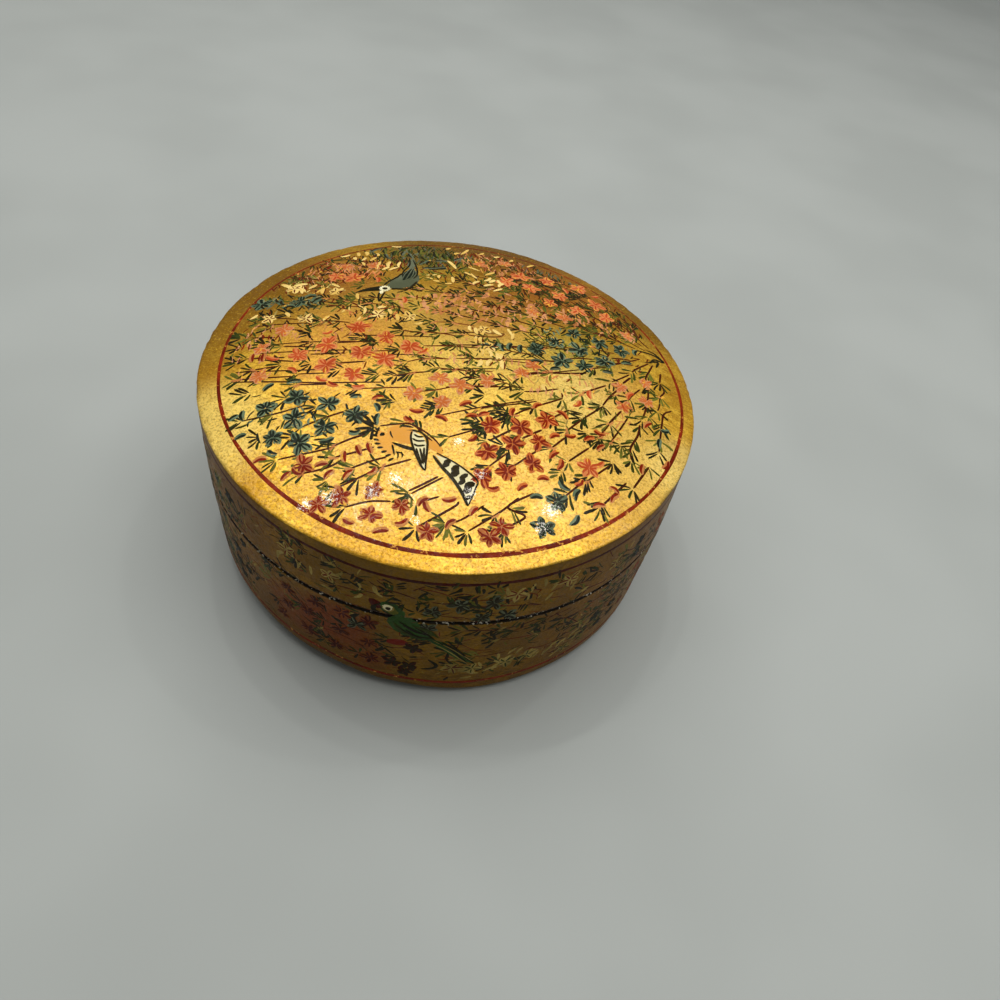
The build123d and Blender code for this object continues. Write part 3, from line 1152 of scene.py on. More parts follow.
# %% Stems on the left and in front
LEFT_STEMS = [
    [(-37, 22), (-43, 23), (-48, 23.6)],
    [(-31, 26.3), (-36, 27.8), (-41, 27.8)],
    [(-29.5, 32), (-36, 33.4), (-42, 33.4)],
    [(-30, 36.4), (-36, 36.2), (-40, 37)],
    [(-14, 22.4), (-18, 22.6)],
    [(-33, 11), (-38, 11.5), (-43, 10)],
    [(-36, 3), (-28.5, 3.2)][::-1],
    [(-42, 2.7), (-50.5, 3)],
    [(-39, -1.9), (-48, -1.5)],
    [(-45, -5.3), (-51.5, -6)],
    [(-33, -7.7), (-42, -8.6)],
    [(-22.5, -3.6), (-29.5, -5.5)],
    [(-26, -8.9), (-34.5, -10.7)],
    [(-40, -12.6), (-49.5, -14)],
    [(-41, -16), (-46, -17.8)],
    [(-36, -18.9), (-49, -21.5)],
    [(-27, -16.3), (-35.3, -18)],
    [(-20.5, -11), (-26.8, -12.8)],
    [(-25.5, -19.9), (-34, -21.5)],
    [(-20, -38), (-24, -40), (-31.3, -43.3)],
    [(-18, -26), (-24, -30), (-29, -34)],
    [(-30, -27.5), (-36, -31), (-43, -34)],
    [(3.5, -34), (-2, -30.3), (-5.5, -28.3), (-12, -30.3)],
    [(10, -25.5), (3.5, -30)],
    [(18.5, -22.3), (12.8, -28.3)],
    [(17.5, -30.3), (14, -35.3)],
    [(5, -40.5), (-1, -46.3)],
    [(9.5, -45.5), (8.5, -47.3), (2, -53.7)],
    [(15, -45), (11, -49.5), (8, -51.3)],
    [(22, -41), (18.5, -45.8), (12.7, -52)],
    [(-8.5, -41), (-13, -45), (-17, -48.5)],
    [(-17, -40.5), (-20, -43.5), (-25, -46)],
    [(-8.2, -38.3), (-11.6, -40.3), (-15.2, -42.9)],
    [(-2.8, -37.7), (-8.6, -41.2)],
    [(3.9, -40.6), (1, -43.4), (-1.7, -45.8)],
    [(-4.4, -48.9), (-9, -49.9), (-13.8, -52.3)],
    [(5.2, -45.4), (0.7, -48.2)],
    [(-11.5, -36.3), (-16, -38.9), (-19.5, -40.8)],
    [(-13.7, -33), (-17, -35), (-20.6, -38)],
]
for points in LEFT_STEMS:
    stem(CROWN, points, "stem", 0.66, 7.5, 3.7)
print(len(LEFT_STEMS), "stems on the left and in front")

# %% Long bare lines that tie the groups together
LONG_LINES = [
    [(-46.6, -8.6), (-32.4, -5.4), (-17.9, -3.1)],
    [(-52, -1.2), (-45, 0.4), (-39.7, 1.3)],
    [(-47.3, -12), (-31.3, -8.7), (-20, -6.8)],
    [(-46.4, -14.2), (-36, -13.6)],
    [(-50.3, -19), (-35, -16.6), (-27, -14.6)],
    [(-49.6, -22.3), (-38, -21), (-27.8, -19.9), (-14, -17)],
    [(-4.5, -0.6), (9.4, 4.3), (22.7, 8.8)],
    [(0.1, -4.5), (15.7, 1), (25.8, 4.8)],
    [(-2.6, -9.5), (10.8, -4.7)],
    [(17.1, -4.6), (24, -0.8), (31.2, 3.8)],
    [(-0.2, -15), (9, -12), (18.4, -8.8)],
    [(0.5, -24.1), (9, -19.1), (21.3, -12.1)],
    [(35, 6.8), (41, 11.4), (47.3, 17.5)],
    [(-5.5, 4.1), (2, 7.2), (10.5, 10.1)],
    [(-24, -9.8), (-12, -6.4), (-2.6, -5.2)],
    [(-28, -2.2), (-16, 0.2), (-6, 2.4)],
]
for points in LONG_LINES:
    brush(CROWN, "stem", points, 0.56 * hand.uniform(0.85, 1.15), 0.06, 0.1, 0.14)
print(len(LONG_LINES), "bare lines")

# %% More leaf whisks that point away from the root, dark ones and green ones
DARK_WHISKS = [
    (-45, -26), (-35, -26), (-27.2, -27.5), (-37, -38), (-13.2, -31), (-1.3, -22.5), (10, -25.3),
    (17.5, -30), (15.5, -21), (20, -50), (42, -24), (36.5, -31), (40, -37.3), (-44, -7.5),
    (-35, -6), (-21, -4), (-28, -10), (-33, -14), (-40, -15), (-26, -15), (-31, 3.5), (-36, 2),
    (14.2, -8), (7.3, -9.8), (-1.7, 0), (-14.5, 3.2), (-10.3, 9.3), (-15.3, 8.7), (0.5, 5.8),
    (10.5, 4.5), (33.2, -13), (48, -9.4), (-16.5, -15), (-9.5, -12.6), (-13.5, -4.8), (15.5, -19),
    (26.7, -15.8), (35, -17.7), (38, -18.6), (46.3, -18.5), (-20.7, -3.5), (24, 33), (34, 35),
    (13, 28), (8, 46), (18, 41), (30, 41), (-22, -36), (-30, -37),
]
GREEN_WHISKS = [
    (-7, -28.3), (-11.5, -22), (50.8, -21.5), (-19, -46.5), (8, -51.3), (30, -32), (-51.5, 1),
    (4.5, -2), (7.8, -5.7), (-24, 9.4), (-31, 13),
    (27.8, -9), (37.5, -7.5), (41, -1.3), (43.7, -17.8), (50.3, -5), (-18, 12.6),
    (21, 35), (28.5, 25), (38, 29), (46, 25), (-46, 20), (-40, 19.5), (-16.8, -14.5), (-30, 22),
    (-45, 23.5), (-24, 25), (10, 33), (32, 22), (53.2, -12), (8.5, 33),
]
for pots, spots in ((("ink", "ink", "leaf"), DARK_WHISKS), (("leaf", "moss", "moss"), GREEN_WHISKS)):
    for x, y in spots:
        away = atan2(y - ROOT_PLACE[1], x - ROOT_PLACE[0]) * 180 / pi
        whisk(CROWN, x, y, away, pots, hand.choice((4, 5, 6)))
print(len(DARK_WHISKS), "dark whisks,", len(GREEN_WHISKS), "green ones")

# %% Bold whisks, with their directions: the marks that the eye picks out first
BOLD_WHISKS = [
    (9.4, -23.6, 170), (11.4, -24.8, 235), (14.2, -18.6, 180), (16.2, -18.8, 250), (16.6, -28.6, 160),
    (17.2, -29.2, 260), (9.6, -14.8, 190), (7.6, -25.4, 0), (-10.4, -22.4, 175), (0.8, -21, 200),
    (30.2, 28.3, 170), (24.4, 32.9, 165), (17.9, 35.2, 165), (31, 42.7, 160), (33.9, 35.5, 165),
    (13.6, 22.3, 175), (1.8, 26.6, 170), (-3.4, 24.3, 175), (23.4, 22.8, 175), (27, 39.4, 160),
    (12, 41, 165), (21.4, 42, 165), (38.4, 36.2, 160), (16.4, 39.8, 165),
    (-53.5, -6.3, 180), (-52, -10.2, 180), (-51, -15.6, 185), (-46.5, -8.4, 175), (-36.5, -2.6, 175),
    (-45, 5, 180), (-22, 7.4, 175), (-12.6, 8.8, 175), (-6, 5.4, 170), (-24, -2.4, 175),
]
for x, y, degrees in BOLD_WHISKS:
    whisk(CROWN, x, y, degrees, ("ink", "ink", "navy", "leaf"), hand.choice((4, 5, 6)), 3.8, 24)
print(len(BOLD_WHISKS), "bold whisks")

# %% Herringbones: a twig with a pair of leaves at every knot
HERRINGBONES = [
    [(18.5, -9.7), (10.6, -9), (3.6, -10)],
    [(31, 12.6), (24, 10.8), (17, 11)],
    [(20, 4.8), (13, 3.4), (6, 4.2)],
]
for points in HERRINGBONES:
    brush(CROWN, "twig", points, 0.5, 0.07, 0.2, 0.3)
    for (u, v), (x, y) in zip(points, points[1:]):
        for share in (0.1, 0.38, 0.66, 0.94):
            knot = (u + (x - u) * share, v + (y - v) * share)
            for side in (1, -1):
                angle = atan2(y - v, x - u) + side * radians(hand.uniform(28, 46))
                tip = turn(*knot, angle, hand.uniform(2.6, 3.8))
                pot = hand.choice(("leaf", "moss", "leaf", "ink"))
                brush(CROWN, pot, [knot, tip], 0.55, 0.07, 0.5, 0.3)
print(len(HERRINGBONES), "herringbones")

# %% [markdown]
# ## Thickets
#
# Between the stems the painter fills the ground with hundreds of small quick strokes. A particle system
# could scatter them, but its strokes would not curve with the dome. So each line below is an oval with
# its colours and the way its strokes lean, and the moves above lay them one by one.

# %% Thickets of small strokes, where the painter filled the ground between the stems
# each is an oval, its pots, how many strokes, their direction, sway, length and width
THICKETS = [
    ((-9, 19.5, 14, 7.5), ("rose", "rose", "blush"), 30, 90, 30, 3.0, 1.1),
    ((8, 21, 15, 8), ("rose", "rose", "blush"), 38, 90, 30, 3.0, 1.1),
    ((26, 25, 12, 5), ("rose", "rose", "blush", "moss"), 28, 90, 30, 3.0, 1.1),
    ((-25, 10.5, 9, 4), ("ink", "leaf", "twig", "blush"), 46, 110, 45, 2.8, 0.6),
    ((28, 15, 9, 6), ("ink", "leaf", "navy", "teal"), 44, 80, 50, 2.8, 0.7),
    ((-32, -31, 15, 9), ("ink", "leaf", "navy", "teal"), 50, 80, 60, 2.8, 0.6),
    ((-42, 28, 12, 6.5), ("twig", "rose", "red", "leaf", "coral"), 130, 105, 35, 2.8),
    ((-33, 31, 7, 7), ("twig", "leaf", "coral", "ink"), 80, 105, 35, 2.8),
    ((-47, 21.5, 9, 3.5), ("twig", "ink", "straw", "moss"), 60, 130, 60, 2.6),
    ((-45, 17.5, 9, 3), ("cream", "twig", "straw"), 34, 100, 40, 2.6),
    ((-46, 10.5, 10, 3), ("leaf", "ink", "slate", "moss"), 75, 125, 60, 2.6),
    ((-44, 3, 12, 3.4), ("twig", "straw", "leaf", "ink"), 36, 100, 60, 2.6),
    ((-46, -3, 9, 3), ("twig", "rose", "twig"), 18, 95, 30, 2.6),
    ((-48, -9.5, 7, 6), ("twig", "rose", "moss"), 22, 100, 30, 2.6, 0.7),
    ((-23, 8, 9, 3.5), ("twig", "cream", "ink", "coral"), 44, 110, 50, 2.6),
    ((-20, 46, 17, 7.5), ("ink", "leaf", "leaf", "slate", "moss"), 300, 100, 30, 3.4),
    ((-30, 37, 9, 5.5), ("ink", "leaf", "twig"), 80, 98, 25, 3.0),
    ((-12, 37, 8, 6), ("leaf", "ink", "moss", "twig"), 80, 110, 50, 2.8),
    ((3, 36, 9, 5), ("leaf", "twig", "moss", "ink"), 80, 120, 50, 2.6),
    ((2, 48, 13, 7), ("twig", "rose", "red", "leaf", "blush"), 170, 112, 35, 2.8),
    ((20, 50, 14, 4), ("leaf", "twig", "slate"), 90, 105, 30, 2.8),
    ((24, 37, 17, 9), ("leaf", "twig", "ink", "moss", "blush"), 110, 105, 45, 2.8),
    ((36, 28, 12, 4.5), ("rose", "twig", "leaf", "rose"), 30, 95, 35, 2.8, 0.7),
    ((44, 33, 6, 5), ("leaf", "twig"), 50, 115, 30, 2.6),
    ((28, 13, 14, 6.5), ("leaf", "ink", "moss", "straw"), 60, 100, 70, 2.6),
    ((-22, -5, 16, 8), ("blush", "rose", "twig", "moss"), 60, 100, 50, 2.8),
    ((6, -2, 20, 7), ("blush", "rose", "straw", "moss"), 80, 100, 50, 2.8),
    ((34, -6, 14, 14), ("blush", "coral", "straw", "moss"), 70, 60, 60, 2.8),
    ((43, 16, 7, 6), ("twig", "ink", "straw"), 36, 70, 50, 2.4),
]
for zone, pots, count, degrees, sway, length, *width in THICKETS:
    thicket(zone, pots, count, degrees, sway, length, *width)
print(sum(row[2] for row in THICKETS), "small strokes in thickets")

# %% [markdown]
# ## Flowers and buds
#
# The flowers come after the leaves and lie over them, in groups of one colour with buds round them. One
# flower could be modelled and copied, but no two of a painter's flowers are alike. So each is painted
# anew at its place, and the cream strokes and the bars are laid last, because they are the finest.

# %% Flowers, each list in its own colour
TEAL = [
    (-32.7, -25.5), (-25, -26.3), (-38.7, -29.8), (-31.3, -31.8), (-24, -33), (-34.3, -37.8),
    (-28, -38.3), (-18.3, -28.3), (-44, 11), (-54, 9), (24, 12.5), (28.3, 18.8), (35.5, 18.5),
    (41.5, 18), (30.5, 12), (37.5, 10.5), (19.5, 7), (26.3, 5.2), (32, 5.6), (30.5, -39.5),
    (28.5, -46.5),
]
CORAL = [
    (-26, 1.5), (-31.5, -6.5), (-22.5, -8), (-37.2, -11.5), (-29.5, -14), (-22, -16), (-18, -1),
    (-11.5, -3), (-16.5, -9), (-34, 25.5), (-39, 25.5), (10.5, 43.5), (18.5, 45), (28, 46.5),
    (14, 37.5), (23, 37.5), (33.5, 39), (20.5, 31.5), (28.5, 32), (37, 33), (7, 38), (36.5, -28),
]
ROSE = [
    (3.3, -13.4), (-1.8, -12.5), (43.5, 27), (5, 50), (-2, 46), (42.3, 2.3),
    (43.5, -4.8), (49.5, 0), (49, 7.5), (-44, -2), (-47, -10), (-44, -20), (-6.8, -19), (0, -20),
    (9, -10), (19.5, 0), (17, -4), (25, 25.5), (16.5, 24), (-30, 34), (-38, 32),
]
VERMILION = [
    (12.3, -24), (19.3, -22), (18.3, -27.5), (13, -31.3), (18.3, -35.3), (24, -24.8), (23.5, -31.5),
    (13, -38), (25, -17.5),
]
CRIMSON = [
    (-25.5, -43.8), (-8.7, -47.2), (-15, -50), (-2.3, -49.3), (-8, -52.8), (-19.3, -52.5),
    (19.5, -49), (17.5, -52), (4.5, -54),
]
CREAM_FLOWERS = [
    (-40, 3.2), (-49.5, 2.4), (-22.6, 8.2), (-14.6, 9.2), (-36.5, 17), (-48, 17.4), (5, 9.6), (7.4, 3),
]

# %% Painting them: petals, the pot for their veins, places, and size
FLOWERS = (
    ("teal", "navy", TEAL, 3.15),
    ("coral", "scarlet", CORAL, 3.2),
    ("rose", "vermilion", ROSE, 2.7),
    ("vermilion", "red", VERMILION, 2.9),
    ("crimson", "red", CRIMSON, 2.7),
    ("cream", "twig", CREAM_FLOWERS, 2.3),
)
for pot, line, spots, size in FLOWERS:
    for x, y in spots:
        veins = 1 if pot == "cream" or pot == "coral" and y > 20 else 2
        flower(CROWN, pot, line, x, y, size * hand.uniform(0.9, 1.1), veins=veins)
print(sum(len(row[2]) for row in FLOWERS), "flowers on the crown")

# %% Buds and loose petals: place and direction
BUDS = {
    "teal": [
        (-40.5, -23.2, 60), (-35, -20.8, 20), (-45, -33.3, 50), (-43, -32.3, 110), (-41.5, -38.3, 40),
        (-33, -41.7, 160), (-22.5, -36.3, 30), (-17, -33, 200), (-19.5, -23.2, 20), (-14.2, -25.3, 120),
        (-12.8, -28.5, 100), (46, 19.8, 80), (34.7, -42.7, 60), (25.7, -40, 20), (34.7, -36.3, 80),
        (31.5, -34.8, 150), (54.5, -7.7, 20), (53.5, -13, 90), (43.5, 13, 30), (-40, 11.5, 70),
        (6.5, 3.3, 20), (8.5, 4, 60), (10.7, 4, 110), (12.5, 5.3, 80), (15.3, 5.5, 95),
    ],
    "coral": [
        (-33, -1.5, 30), (-29, -18.5, 160), (-37, -17, 150), (-8, -4, 60), (-27.5, 25.5, 110),
        (38.5, -26, 40), (31.5, -9, 60), (34.7, -4.5, 100), (-18, 16.5, 110), (45, 0, 70),
        (44, -5, 120), (33, 45, 40), (24, 42, 120), (-43, -13, 170), (-20, -19.5, 10),
    ],
    "vermilion": [
        (27.5, -22, 40), (28, -27.3, 60), (26.5, -34.8, 20), (22.3, -38.3, 50), (16, -40.3, 20),
        (8.8, -28.5, 60), (7.5, -22.3, 20), (-5, -23.8, 10), (1, -25, 170), (-14.5, -22.5, 30),
        (-6, -27, 160), (29.5, -29.5, 80), (34.5, -32.7, 50), (10.3, -21.2, 35), (5.5, -19, 40),
        (28.5, -14.5, 150), (31, -20, 20), (35.8, -19.5, 40), (38, -16.2, 170), (-26, -20, 170),
        (22.3, -14, 45), (16.7, -18, 80),
    ],
    "blush": [
        (-28, -47.2, 60), (-26, -45.3, 150), (-10.5, -42.5, 60), (-21.5, -43, 20), (-19, -45.3, 60),
        (-1.3, -53, 40), (-12, -55, 170), (-5, -56, 20), (2, -47.5, 50), (7.2, -45.3, 20),
        (9, -51.3, 60), (3.2, -48.3, 130), (40, -37.5, 30), (43.5, -34, 60), (43, -32, 160),
        (50, -8.2, 60), (38.8, -21, 60), (49.5, -23, 90), (55, -19, 60), (-35, -44, 30),
        (-15, -44.5, 70), (13, -47, 60),
    ],
    "slate": [
        (20, 2, 20), (25, 1, 30), (-12, 38.3, 25), (-15.5, 36.5, 20), (38.5, 6.3, 20),
    ],
}
BUD_LINES = {"teal": "navy", "slate": "navy", "coral": "scarlet", "vermilion": "red", "blush": "red"}
for pot, dabs in BUDS.items():
    for x, y, degrees in dabs:
        bend = hand.choice((-0.5, 0.5, 0.3))
        bud(pot, BUD_LINES[pot], x, y, degrees, hand.uniform(2.8, 3.8), bend)
EVEN_BUDS = [
    (-17.3, -40.1, 110), (-14.5, -37.8, 120), (-12.4, -36.7, 125), (-48, -13.6, 100), (-45.2, -13.2, 105),
]
for x, y, degrees in EVEN_BUDS:
    bud("blush", "red", x, y, degrees, 3.4, 0.2)
print(sum(len(dabs) for dabs in BUDS.values()) + len(EVEN_BUDS), "buds")

# %% Cream strokes, in little rows beside the stems: place, direction, length
# each has a thin brown stroke under it, half a millimetre to its right, which reads as its shade
CREAM = [
    (-50.5, 18.5, 150, 4), (-46, 16.5, 120, 3), (-43.5, 19, 60, 2.5), (-40, 17, 100, 3), (-35.5, 17.5, 70, 3),
    (-30, 15.5, 110, 2.6), (-37.5, 20.3, 150, 2.8), (-47, 19.5, 20, 3), (-54, 3, 60, 2.2),
    (-45.5, 4.5, 130, 2.2), (-35, 4, 70, 2.2), (-26.5, 9, 100, 2.6),
    (-20, 10, 120, 2.2), (-17.5, 8, 110, 2.6), (-11.8, 7, 30, 2),
    (-22.5, 11.5, 30, 2), (-40.5, 39.3, 40, 2.6), (-37, 41, 110, 2.6), (-37, 38, 110, 1.8),
    (-35, 42, 110, 2.6), (-34.7, 38, 80, 2.2), (-31.8, 41.8, 110, 2), (-32, 38.5, 70, 2.8),
    (-33.8, 34.5, 120, 2.2), (-29.3, 34.5, 95, 4.6), (-26.6, 36, 95, 3.4), (-27, 33, 60, 2.4),
    (-23.8, 36.5, 95, 3.4), (-24.8, 33.2, 55, 2.8), (-28, 50.2, 10, 2.6), (-13, 54, 60, 1.8),
    (-7.8, 53.4, 75, 4.6), (-9.6, 50.8, 60, 1.8), (-9.6, 41.8, 125, 5), (-3, 41.6, 160, 3.4),
    (1.8, 40.5, 55, 3.4), (-4.2, 37.6, 150, 2.2), (-2.2, 37, 130, 2.8), (1.6, 36.6, 65, 3),
    (5.2, 36.3, 120, 2.6), (3.1, 36, 60, 2.4), (2.6, 32.9, 40, 2.8), (6, 34.6, 70, 2.6),
    (5.4, 31.4, 50, 3), (-1, 33, 60, 2.6), (-7.6, 32, 105, 3), (-11.5, 32.4, 95, 1.8),
    (-11.7, 29.4, 0, 1.6), (-8.3, 29.2, 30, 1.8), (12.5, 53.5, 60, 3), (6.3, 54, 70, 2),
    (-3, 54.5, 60, 2.2), (2, 54.2, 50, 2), (3.2, 8.3, 110, 2.4), (3.8, 4.5, 100, 2.8),
    (1.6, 8.8, 110, 2), (8.5, 9.8, 150, 2.6), (11.5, 11.3, 120, 2.4), (12.5, 9.6, 90, 2.4),
    (4.8, 8, 100, 1.8), (5.8, 0.2, 110, 2.2), (8, 0.2, 110, 2.2), (9.8, 0, 100, 2.2),
    (6, -4.2, 80, 2.6), (8.5, -3.3, 75, 2.4), (11.8, -2.8, 100, 3), (11, 0.2, 90, 1.8),
    (5, 5, 100, 2), (23, -7, 110, 1.8), (28, -1.5, 60, 2), (33.5, -2.8, 40, 2.4), (27, -7.8, 100, 2),
]
for x, y, degrees, length in CREAM:
    dab(CROWN, "twig", x + 0.5, y - 0.2, degrees, length, 0.5, 0.06, hand.uniform(-0.3, 0.3), 0.05)
    wide, bend = hand.uniform(0.8, 1.2), hand.uniform(-0.5, 0.5)
    dab(CROWN, "cream", x, y, degrees, length * 1.25, wide, 0.1, bend, 0.12)
print(len(CREAM), "cream strokes")

# %% Faint upright bars between the groups: place and length
FAINT_BARS = [
    (-52, -5, 3), (-49, -5.2, 2.6), (-46, -5.4, 2.4), (-48, -13, 3), (-45, -13.2, 2.6), (-42, -12.4, 2.6),
    (-49, -19, 2.6), (-45, -19.4, 2.6), (-42, -19, 2.2), (-44, -1.6, 3), (-36, 12.5, 2.6),
    (-12.3, -36.5, 2.2), (-14.3, -38, 2.6), (-17.2, -40.3, 2.8), (-12, 15.5, 3), (-9, 17.5, 3),
    (-5, 14.8, 3), (1, 15.8, 3), (5, 14.5, 3), (9, 16, 2.6), (-5, 21, 3), (2, 20.8, 3), (7, 21, 3),
    (12, 18, 3), (17, 18, 3), (-12, 20, 3), (20, 24, 3), (26, 25, 3), (32, 27.5, 3), (36, 28, 2.6),
    (-40, 30, 3), (-36, 31, 3), (-46, 26, 3), (-44, 25, 2.6), (-48, 24, 2.6), (1, 44, 3), (5, 45, 3),
    (-2, 49, 3), (3, 48, 3), (19, -4, 2.4), (22, -8.6, 2.6), (24.5, -9, 2.4), (20, -9.4, 2.2),
]
for x, y, length in FAINT_BARS:
    pot = "red" if -42 < y < -36 else hand.choice(("rose", "rose", "twig"))
    dab(CROWN, pot, x, y, hand.uniform(70, 110), length, 0.5, 0.07, hand.uniform(-0.4, 0.4))
print(len(FAINT_BARS), "faint bars")

# %% Ladders of upright bars: place, the twig's direction, and how many bars
LADDERS = {
    "red": [(-45.3, -13.4, 2, 4), (-46.5, -5.4, 4, 3), (-51, -9.6, 5, 2)],
    "rose": [
        (-45.2, -20, 8, 4), (-46.5, -10.5, 6, 3), (-52, -14.6, 8, 2), (-10, 20.5, 0, 4), (-3, 21.5, 0, 3),
        (4.5, 17.6, 0, 4), (11.5, 20.4, 0, 3), (-2, 26.4, 160, 3), (17.5, 22, 0, 3), (9, 25.8, 170, 3),
        (28, 27.2, 170, 3), (37, 27.4, 165, 3), (44.5, 25.6, 160, 2), (16, 28.6, 165, 3), (-44, 27.4, 175, 3),
        (-38, 29.6, 175, 3), (-42, 32.8, 175, 3), (28, 10, 10, 2), (-30, 30.4, 170, 2), (0, 45.6, 170, 3),
        (22.6, -8.6, 15, 4), (28.5, -7, 15, 3), (14.6, -0.6, 5, 4), (2, -5, 5, 3), (-6, 6, 0, 3),
        (33, -1, 20, 3),
    ],
    "twig": [
        (-13, 18.8, 0, 3), (7.5, 21.8, 0, 3), (21, 24.6, 170, 3), (32, 30.6, 165, 3), (40, 32, 160, 2),
        (-47, 22.2, 175, 3), (-36, 24.4, 175, 3), (24, 43.6, 160, 3), (8, 41.4, 170, 3),
        (36, 22.6, 170, 3), (-9, 25, 160, 3),
    ],
}
for pot, rows in LADDERS.items():
    for x, y, degrees, rungs in rows:
        ladder(x, y, degrees, pot, rungs)
print(sum(len(rows) for rows in LADDERS.values()), "ladders")

# %% [markdown]
# ## The birds
#
# Two birds sit in the crown's garden, each built from a few wide strokes: a body, a striped wing and a
# tail. The front one has a crest of black dashes, and the back one a white ring round its eye. They
# could be drawn as outlines and filled, but a painter pulls each feather with the brush, so each one
# here is a stroke too. A later stroke is laid higher, by its base, so it covers the ones before it.

# %% The peach bird's body, in front of the middle, and the dark line of its back
PEACH = [
    ([(-12, -31.4), (-10.6, -33.2), (-9.2, -35.2), (-7.3, -37.6)], [0, 2.8, 3.8, 3.2, 0]),
    ([(-10, -31.2), (-7, -31.5), (-4.4, -32.2), (-2, -34.2)], [2, 5.2, 5.4, 3.4, 0]),
    ([(-1, -31.6), (0.8, -33), (2.6, -34), (2.6, -36.4)], [0, 2.8, 2.4, 1.4, 0]),
]
for points, widths in PEACH:
    brush(CROWN, "peach", points, widths, 0.1)
BACK = [(-12, -30.5), (-8, -28.9), (-5.5, -28.3), (-1.5, -29.8), (1.5, -31.8), (3, -33.8)]
brush(CROWN, "stem", BACK, 0.62, 0.07)
print(len(PEACH), "wide strokes in the peach bird's body")

# %% Its crest of short dashes, its eye, and the lines on its head and beak
CREST = [
    (-12.9, -32.0, 165), (-12.3, -33.2, 168), (-11.7, -34.3, 175), (-11.1, -35.3, 185), (-10.3, -36.2, 195),
    (-9.2, -37.1, 205), (-8.1, -37.9, 215), (-7.2, -38.8, 225), (-12.2, -31.5, 150),
]
for x, y, degrees in CREST:
    dab(CROWN, "ink", x, y, degrees, 1.5, 0.62, 0.08, 0, 0.1)
dab(CROWN, "ink", -10.8, -32.6, 60, 1.3, 1.1, 0.08, 0, 0.1)
for points, width in (
    ([(-9.3, -31.2), (-8.9, -32.2), (-8.1, -33.2)], 0.42),
    ([(-2.6, -35.1), (-5.2, -34.9), (-8.2, -34.3)], 0.95),
    ([(-8, -34.8), (-7.4, -36), (-6.7, -37.7)], 0.5),
    ([(-6.6, -36.4), (-6, -37.2), (-5.9, -38.4)], 0.4),
    ([(-5.6, -36.2), (-5.1, -37), (-5, -38)], 0.4),
    ([(-6.9, -36.7), (-5.6, -36.6), (-4.6, -37.2)], 0.36),
):
    brush(CROWN, "ink", points, width, 0.06, 0.25, 0.5, 0.1)
for points in (
    [(-13, -31.2), (-16, -29.8), (-19, -28.6)],
    [(-13.1, -31), (-15, -29), (-17.4, -27.6)],
    [(-13.1, -31.7), (-14.4, -32.6), (-16, -33.8)],
    [(-13.2, -31.5), (-15.4, -31.8), (-17.2, -32.4)],
):
    brush(CROWN, "ink", points, 0.8, 0.07, 0.4, 0.3, 0.1)
print(len(CREST), "dashes in its crest")

# %% Its white wing, with ink lines
WING = [(-4.3, -30.2), (-2.7, -32.6), (-1.4, -35.2), (0, -38.2), (0.8, -40)]
brush(CROWN, "white", WING, [0, 3.0, 3.3, 2.2, 1.2, 0], 0.12, base=0.1)
WING_LINES = [
    [(-4.6, -30.2), (-4.3, -32.4), (-2.7, -35.6), (-0.4, -39), (0.8, -40)],
    [(-4.6, -30.2), (-2.6, -30.1), (-0.8, -31.7), (-0.1, -34.5), (0.3, -37.6), (0.8, -40)],
    [(-4, -31), (-2.9, -31.5), (-1.6, -31.2)],
    [(-4.1, -32.2), (-2.8, -32.7), (-1, -32.2)],
    [(-3.4, -33.6), (-2.4, -34), (-0.7, -33.4)],
    [(-2.6, -34.6), (-1.7, -36.4), (-0.3, -38.8)],
    [(-1.8, -34.4), (-1, -36.2), (0, -38.6)],
    [(-0.9, -34), (-0.5, -36), (0.2, -38.2)],
]
for points in WING_LINES:
    brush(CROWN, "ink", points, 0.55, 0.06, 0.2, 0.2, base=0.24)
print(len(WING_LINES), "lines on its wing")

# %% Its white tail, barred with ink
TAIL = [(1.9, -35.3), (5.1, -37.1), (8.1, -39.2), (10.7, -41.7), (11.6, -46)]
brush(CROWN, "white", TAIL, [0, 1.6, 2.9, 3.6, 4.0, 2.6, 0], 0.12, base=0.1)
for edge, width in (
    ([(2, -34.8), (7.4, -36.7), (12.1, -39.4), (12.3, -41.6), (11.6, -46.2)], 0.42),
    ([(1.4, -35.6), (4.2, -38.3), (6.6, -40.2), (9.3, -43), (11.6, -46.3)], 0.8),
):
    brush(CROWN, "ink", edge, width, 0.07, 0.2, 0.2, base=0.24)
TAIL_BARS = [
    ([(4, -37.9), (4.9, -37.3), (4.8, -36.7), (5.7, -36)], 1.4),
    ([(6.3, -39.8), (7.3, -38.9), (6.9, -38), (7.7, -37)], 1.8),
    ([(8.3, -41.6), (9.3, -40.6), (8.9, -39.8), (10, -38.4)], 1.25),
    ([(9.7, -43.2), (10.8, -42.4), (10.6, -41.3), (12, -40.4)], 1.7),
    ([(10.5, -45.1), (11.1, -44.3), (12, -43.6)], 0.95),
]
for points, width in TAIL_BARS:
    brush(CROWN, "ink", points, width, 0.07, 0.3, 0.3, base=0.24)
print(len(TAIL_BARS), "bars on its tail")

